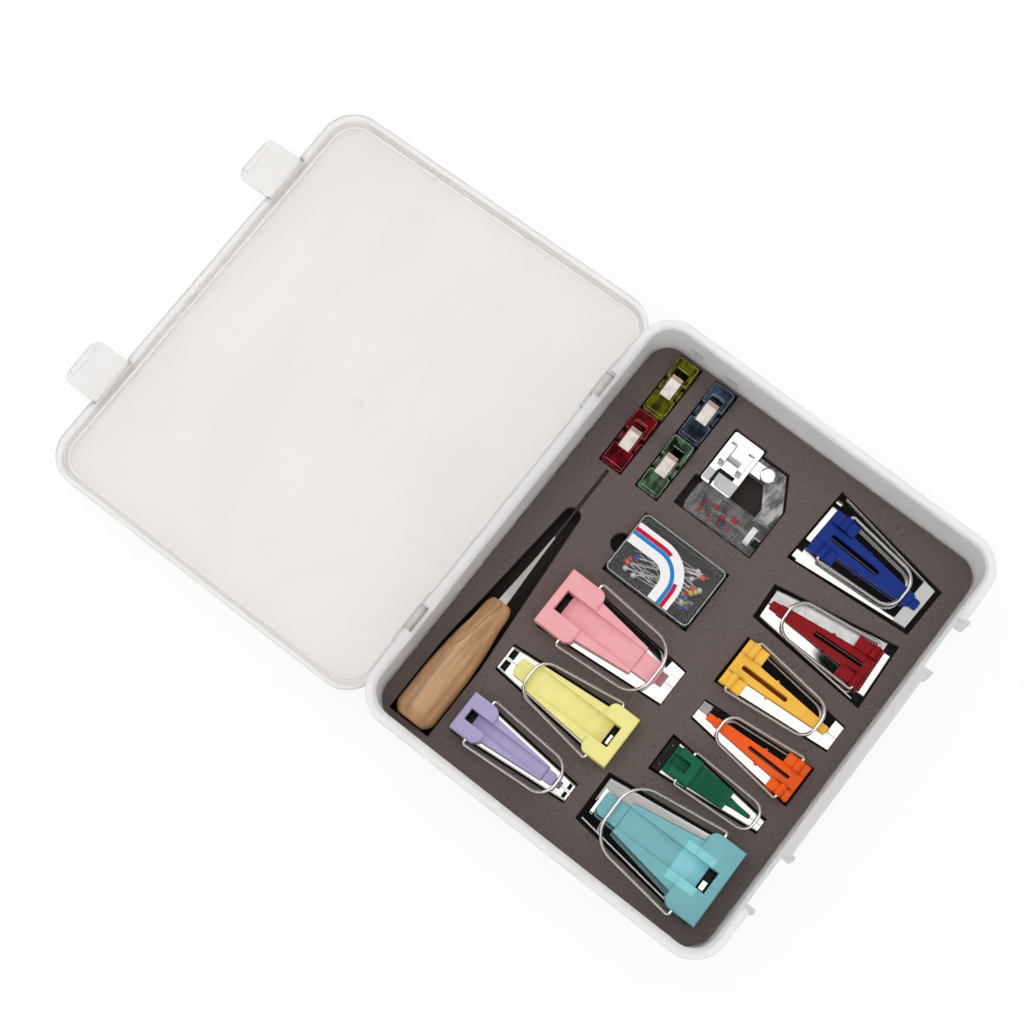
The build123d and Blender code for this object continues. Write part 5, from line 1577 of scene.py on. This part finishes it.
@dataclass
class BinderFoot:
    """Binder foot with a chrome plate, a clear body and a thumb wheel."""

    edge_round: float = 0.2 * MM
    arm_reflection_patches: float = 0.4
    print_height: float = 0.04 * MM
    digit_size: float = 3.3 * MM
    digit_weight: float = 0.12 * MM
    digit_steps: int = 3
    cover_gap: float = 0.03 * MM
    cover_sheet: float = 0.3 * MM
    wheel_room: float = 1.0 * MM
    scale_start: float = 6.1 * MM
    scale_step: float = 5.0 * MM
    tick: Sequence[float] = (0.6 * MM, 2.4 * MM)
    tick_inset: float = 2.1 * MM
    digit_inset: float = 5.2 * MM
    digit_stagger: float = 1.9 * MM
    scale: Sequence[str] = ("5", "10", "15", "20")
    slot_width: float = 1.5 * MM
    slot_reach: float = 6.2 * MM
    slot_start: float = 1.4 * MM
    slot_end_share: float = 0.45
    toe_start: float = 5.2 * MM
    toe_length: float = 6.8 * MM
    toe_front: float = 0.7 * MM
    toe_corner: float = 3.0 * MM
    side_toe: Sequence[float] = (0.3 * MM, 1.0 * MM, 3.6 * MM, 6.6 * MM)
    plate_width: float = 15.3 * MM
    relief: float = 0.12 * MM
    shade_block_size: Sequence[float] = (2.6 * MM, 3.6 * MM, 0.8 * MM)

    def build(self) -> None:
        """Dress the pieces, add the toes and print the scale."""
        dress_node("binder_plate", CHROME, self.edge_round)
        dress_node("binder_stud", CHROME)
        # the arms of the clear body take blotches of painted reflection
        arm = replace(CLEAR, name="clear_arm_finish", reflection_patches=self.arm_reflection_patches, reflection_patch_start=self.block_sides()[1])
        dress_node("binder_frame", arm, self.edge_round, edge=CLEAR_EDGE_PAINTED_LIGHT)
        dress_node("binder_slider", CLEAR, self.edge_round, edge=CLEAR_EDGE_PAINTED_LIGHT)
        self.dress_screw()
        self.add_toes()
        self.add_wheel_shade()
        self.print_scale(self.add_cover())

    def block_sides(self) -> tuple[float, float]:
        """Find the clear block that carries the scale.

        Returns:
            Its lowest and highest Y.
        """
        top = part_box("binder_frame")[1].z - WELD_DISTANCE
        sides = [corner.y for corner in corners("binder_frame") if corner.z > top]
        return min(sides), max(sides)

    def wheel_start(self) -> float:
        """Where along X the thumb wheel begins."""
        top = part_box("binder_frame")[1].z
        return min(corner.x for corner in corners("binder_screw") if corner.z > top)

    def dress_screw(self) -> None:
        """Give the thumb wheel and the screw's shaft their finishes."""
        # the wheel's light grey is painted reflection
        screw = dress_node("binder_screw", WHEEL_METAL).data
        screw.materials.append(SHAFT_STEEL.material())
        start = self.wheel_start() - WELD_DISTANCE
        for face in screw.polygons:
            face.material_index = int(face.center.x < start)

    def add_toes(self) -> None:
        """Two toes of the plate, and a black sheet of painted shadow in the curved slot between them."""
        low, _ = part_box("binder_plate")
        top = max(corner.z for corner in corners("binder_plate") if corner.y < low.y + self.toe_length / 2)
        place = Matrix.Translation((low.x, low.y, top))
        first, front, last, back = self.side_toe
        blank = Blank(place)
        blank.box((first, front, 0), (last, back, self.relief), self.relief / 2)
        blank.piece("binder_left_toe", CAST_METAL, "binder", "plate_chrome")
        left, right, start, end = self.toe_start, self.plate_width, self.toe_front, self.toe_length
        blank = Blank(place)
        blank.prism(((left, start), (right, start), (right, end), (left, end)), 0, self.relief)
        blank.round_corner(left, start, self.toe_corner)
        blank.piece("binder_right_toe", CAST_METAL, "binder", "plate_chrome")
        # painted shadow: a black sheet on the plate where the slot's gap shows the dark pocket
        outer, reach = left - self.slot_width, left + self.slot_reach
        near, far = self.slot_start, end + self.slot_width
        blank = Blank(place)
        blank.prism(((outer, near), (left, near), (left, end), (reach, end), (reach, far), (outer, far)), 0,
                    self.relief)
        blank.round_corner(outer, far, self.slot_width)
        for y in (end, far):
            blank.round_corner(reach, y, self.slot_end_share * self.slot_width)
        blank.piece("binder_slot_shadow", BLACK_PLASTIC_AND_SHADE, "binder", "plate_chrome")

    def add_wheel_shade(self) -> None:
        """Black block of painted shade that sits on the clear body beyond the wheel."""
        low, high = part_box("binder_frame")
        wide, deep, tall = self.shade_block_size
        # painted shade: a black block where the dark beside the thumb wheel shows
        blank = Blank()
        blank.box((high.x - wide, low.y + deep, high.z - tall),
                  (high.x, low.y + 2 * deep, high.z + self.relief), self.relief)
        blank.piece("binder_wheel_shade", BLACK_PLASTIC_AND_SHADE, "binder", "clear_plastic")

    def add_cover(self) -> float:
        """Thin clear cover on the walls of the slider's channel.

        Returns:
            The height of its top, which carries the scale.
        """
        low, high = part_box("binder_frame")
        front, back = self.block_sides()
        top = high.z + self.cover_gap + self.cover_sheet
        blank = Blank()
        blank.box((low.x, front, high.z + self.cover_gap), (self.wheel_start() - self.wheel_room, back, top))
        blank.piece("binder_scale_cover", COVER_CLEAR, "binder", "clear_plastic")
        return top

    def print_scale(self, top: float) -> None:
        """Print red numbers and ticks on the clear cover.

        Args:
            top: the height of the cover's top.
        """
        low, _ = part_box("binder_frame")
        blank = Blank()
        for index, label in enumerate(self.scale):
            x = low.x + self.scale_start + index * self.scale_step
            y = low.y + self.tick_inset
            wide, tall = self.tick
            blank.box((x - wide / 2, y, top), (x + wide / 2, y + tall, top + self.print_height))
            self.print_digits(label, x, low.y + self.digit_inset + index % 2 * self.digit_stagger, top)
        blank.piece("binder_ticks", SCALE_INK, "binder", "clear_plastic")

    def print_digits(self, label: str, x: float, y: float, z: float) -> None:
        """Print one number.

        Args:
            label: the number.
            x: its middle.
            y: its foot.
            z: height of the face that it is printed on.
        """
        curve = bpy.data.curves.new(f"digits_{label}", "FONT")
        curve.body, curve.size, curve.align_x = label, self.digit_size, "CENTER"
        curve.extrude, curve.offset = self.print_height / 2, self.digit_weight
        curve.resolution_u = self.digit_steps
        letters = add_object(f"digits_{label}", curve)
        data = bpy.data.meshes.new_from_object(letters.evaluated_get(bpy.context.evaluated_depsgraph_get()))
        bpy.data.objects.remove(letters)
        bpy.data.curves.remove(curve)
        blank = Blank(Matrix.Translation((x, y, z + self.print_height / 2)))
        blank.mesh.from_mesh(data)
        bpy.data.meshes.remove(data)
        blank.piece(f"binder_number_{label}", SCALE_INK, "binder", "clear_plastic")


@dataclass
class PinBox:
    """Clear box of pins with a paper band."""

    wall: float = 2.6 * MM
    edge_round: float = 0.2 * MM
    band_width: float = 10 * MM
    band_inner: float = 7 * MM
    band_sheet: float = 0.15 * MM
    band_shift: Sequence[float] = (-5.6 * MM, -0.7 * MM)
    blue_stripe: Sequence[float] = (4.1 * MM, 5.9 * MM)
    red_stripe: Sequence[float] = (6.0 * MM, 7.8 * MM)
    red_steps: int = 3
    print_height: float = 0.03 * MM
    bend_steps: int = 14
    edge_radius: float = 0.3 * MM
    corner: float = 2.2 * MM
    rib_inset: float = 9 * MM
    rib_length: float = 9 * MM
    rib_height: float = 7 * MM
    rib_thickness: float = 0.8 * MM
    head_radius: float = 1.35 * MM
    head_sides: int = 14
    head_spread: float = 6 * MM
    right_heads: Sequence[int] = (3, 5)
    shaft_radius: float = 0.3 * MM
    shaft_taper: float = 4
    shaft_sides: int = 8
    pin_length: float = 27 * MM
    pin_count: int = 28
    heads: Sequence[tuple[str, Colour]] = (("white", (240, 238, 236)), ("red", (222, 66, 20)),
                                           ("blue", (40, 82, 176)), ("yellow", (216, 190, 30)))
    seed: int = 11

    def build(self) -> None:
        """Dress the box and the band, and fill it with pins."""
        for node in ("pin_tray", "pin_lid"):
            dress_node(node, BOX_CLEAR, self.edge_round)
        self.add_edges()
        self.print_band()
        self.scatter_pins()

    def add_edges(self) -> None:
        """Rounded edges of the box in a whiter, less clear finish that paints their highlight, and the small
        rib inside it in the same finish.
        """
        low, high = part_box("pin_lid")
        inset = Vector((1, 1, 0)) * self.edge_radius
        blank = Blank()
        blank.loop(low + inset, high - inset, self.corner, high.z - self.edge_radius, self.edge_radius)
        blank.piece("pin_lid_edge", BOX_EDGE_LIGHT, "pin_cover", "pin_box_plastic")
        tray_low, tray_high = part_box("pin_tray")
        blank = Blank()
        wall = tray_high.x - self.wall
        y = tray_low.y + self.rib_inset
        blank.box((wall - self.rib_length, y, tray_low.z + self.wall),
                  (wall, y + self.rib_thickness, tray_low.z + self.rib_height))
        blank.piece("pin_tray_rib", BOX_EDGE_LIGHT, "pin_box", "pin_box_plastic")

    def print_band(self) -> None:
        """Paper band with its stripes, the red one on the straight runs alone."""
        low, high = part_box("pin_label")
        corner = Vector((high.x, high.y)) - Vector((1, 1)) * (self.band_width + self.band_inner)
        corner += Vector(self.band_shift)

        def runs(radius: float, z: float) -> tuple[list[Vector], list[Vector], list[Vector]]:
            """Follow a line along the band.

            Args:
                radius: the line's distance from the bend's centre.
                z: its height.

            Returns:
                Points of its first run, of the bend's middle and of its last run.
            """
            turns = [math.pi / 2 * step / self.bend_steps for step in range(self.bend_steps + 1)]
            bend = [Vector((corner.x + radius * math.sin(turn), corner.y + radius * math.cos(turn), z))
                    for turn in turns]
            first, last = Vector((low.x, bend[0].y, z)), Vector((bend[-1].x, low.y, z))
            step = self.red_steps
            return [first] + bend[:step + 1], bend[step:-step], bend[-step - 1:] + [last]

        def lay(z: float, reach: Sequence[float], parts: Sequence[int], sheet: float) -> Blank:
            """Lay a flat strip along the band.

            Args:
                z: height of its top.
                reach: how far its two edges lie from the band's inner edge.
                parts: which of the line's three parts it follows.
                sheet: its thickness.

            Returns:
                The strip.
            """
            inner, outer = (runs(self.band_inner + offset, z) for offset in reach)
            blank = Blank()
            for part in parts:
                blank.strip(list(zip(outer[part], inner[part])))
            bmesh.ops.remove_doubles(blank.mesh, verts=blank.mesh.verts, dist=WELD_DISTANCE)
            blank.mesh.normal_update()
            down = [face for face in blank.mesh.faces if face.normal.z < 0]
            bmesh.ops.reverse_faces(blank.mesh, faces=down)
            bmesh.ops.solidify(blank.mesh, geom=blank.mesh.faces[:], thickness=sheet)
            return blank

        paper = lay(low.z + self.band_sheet, (0, self.band_width), (0, 1, 2), self.band_sheet)
        paper.piece("band_paper", PAPER, "pin_cover", "label_paper", ["pin_label"])
        for name, ink, reach, parts in (("blue", BLUE_INK, self.blue_stripe, (0, 1, 2)),
                                        ("red", RED_INK, self.red_stripe, (0, 2))):
            stripe = lay(low.z + self.band_sheet + self.print_height, reach, parts, self.print_height)
            stripe.piece(f"band_{name}_stripe", ink, "pin_cover", "label_paper")

    def scatter_pins(self) -> None:
        """Jumble of pins with their heads at both ends of the box."""
        low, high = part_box("pin_tray")
        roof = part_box("pin_lid")[1].z - self.wall
        dice = random.Random(self.seed)
        centre = (low + high) / 2
        half_x = (high.x - low.x) / 2 - self.wall - self.head_radius
        half_y = (high.y - low.y) / 2 - self.wall - self.head_radius
        shafts = Blank()
        beads = {name: Blank() for name, _ in self.heads}
        right, every = self.right_heads
        for index in range(self.pin_count):
            side = 1 if index % every < right else -1
            x = side * (half_x - dice.uniform(0, self.head_spread))
            head = Vector((x, dice.uniform(-half_y, half_y),
                           dice.uniform(low.z + self.wall + self.head_radius, roof - self.head_radius)))
            tip = Vector((head.x - side * self.pin_length, dice.uniform(-half_y, half_y),
                          dice.uniform(low.z + self.wall, roof - self.wall / 2)))
            tip.x = max(-half_x, min(half_x, tip.x))
            head += Vector((centre.x, centre.y, 0))
            tip += Vector((centre.x, centre.y, 0))
            shafts.rod(head, tip, self.shaft_radius, self.shaft_radius / self.shaft_taper, self.shaft_sides)
            name, _ = self.heads[dice.randrange(len(self.heads))]
            beads[name].ball(head, self.head_radius, self.head_sides)
        shafts.piece("pin_shafts_loose", PIN_STEEL, "pin_box", "pin_wire", ["pin_shafts"])
        for name, colour in self.heads:
            node = f"pin_heads_{name}"
            finish = GlossBead(f"{name}_bead_finish", colour)
            beads[name].piece(f"{node}_loose", finish, "pin_box", f"{name}_bead", [node])


def tape_makers() -> tuple[TapeMaker, ...]:
    """List the nine tape makers.

    Returns:
        The tape makers, row by row.
    """
    return (
        TapeMaker("blue", (11, 44, 128), plus=Flange(4.5, 4.5),
                  minus=Flange(2, -6, crease=0.45, crease_end=0.85), entry=Entry.ROLLED, strip=(-0.42, 0.64),
                  tabs=((-0.96, -0.72), (0.74, 0.84)), end_zone=6 * MM, satin_or_shaded_end=True, hems=(1,),
                  slot_highlight=-0.5 * MM),
        TapeMaker("red", (132, 0, 12), plus=Flange(-8, -8, fade=-0.6), minus=Flange(-2, -2), satin_or_shaded_side=-1,
                  entry=Entry.ROLLED, strip=(-0.72, 0.72), end_zone=0.0, slot_highlight=-0.45 * MM),
        TapeMaker("yellow", (238, 182, 68), plus=Flange(7, 7), shade_sheet=BROWN_SHADE),
        # the orange folder's minus side and end take painted reflection in darker grey
        TapeMaker("orange", (232, 88, 14), minus=Flange(8, 8, fade=0.6), slot_highlight=0.35 * MM, satin_or_shaded_side=-1,
                  satin_or_shaded_end=True, satin_or_shaded=SHADED_NICKEL),
        TapeMaker("green", (4, 92, 62), entry=Entry.BLACK_BAR),
        TapeMaker("teal", (116, 174, 182), plus=Flange(-10, -10), minus=Flange(-8, -8), tip=Tip.BAR,
                  end_zone=0.0, panel_mm=(4.0, 17.9, -9.0, 9.0), glint_mm=(1.6, 4.0, 0.2, 4.4)),
        TapeMaker("lilac", (166, 156, 194), tip=Tip.TAB, end_window=1.6 * MM),
        TapeMaker("primrose", (230, 222, 140), end_window=2.8 * MM, glint_mm=(2.2, 3.6, -1.0, 3.6)),
        TapeMaker("pink", (230, 162, 166), plus=Flange(8, 0, crease=0.5), tip=Tip.TAB),
    )


def sewing_clips() -> tuple[SewingClip, ...]:
    """The four sewing clips."""
    return (SewingClip("olive", (124, 122, 8)), SewingClip("navy", (66, 84, 104)),
            SewingClip("maroon", (138, 4, 18)), SewingClip("mint", (98, 126, 96)))


def main() -> None:
    """Build the picture and every sub-assembly."""
    logging.basicConfig(level=logging.INFO, format="%(name)s: %(message)s")
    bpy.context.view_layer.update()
    parts = (Studio(), Case(), FoamTray(), *tape_makers(), Awl(), *sewing_clips(), BinderFoot(), PinBox())
    for part in parts:
        part.build()


if __name__ == "__main__":
    main()
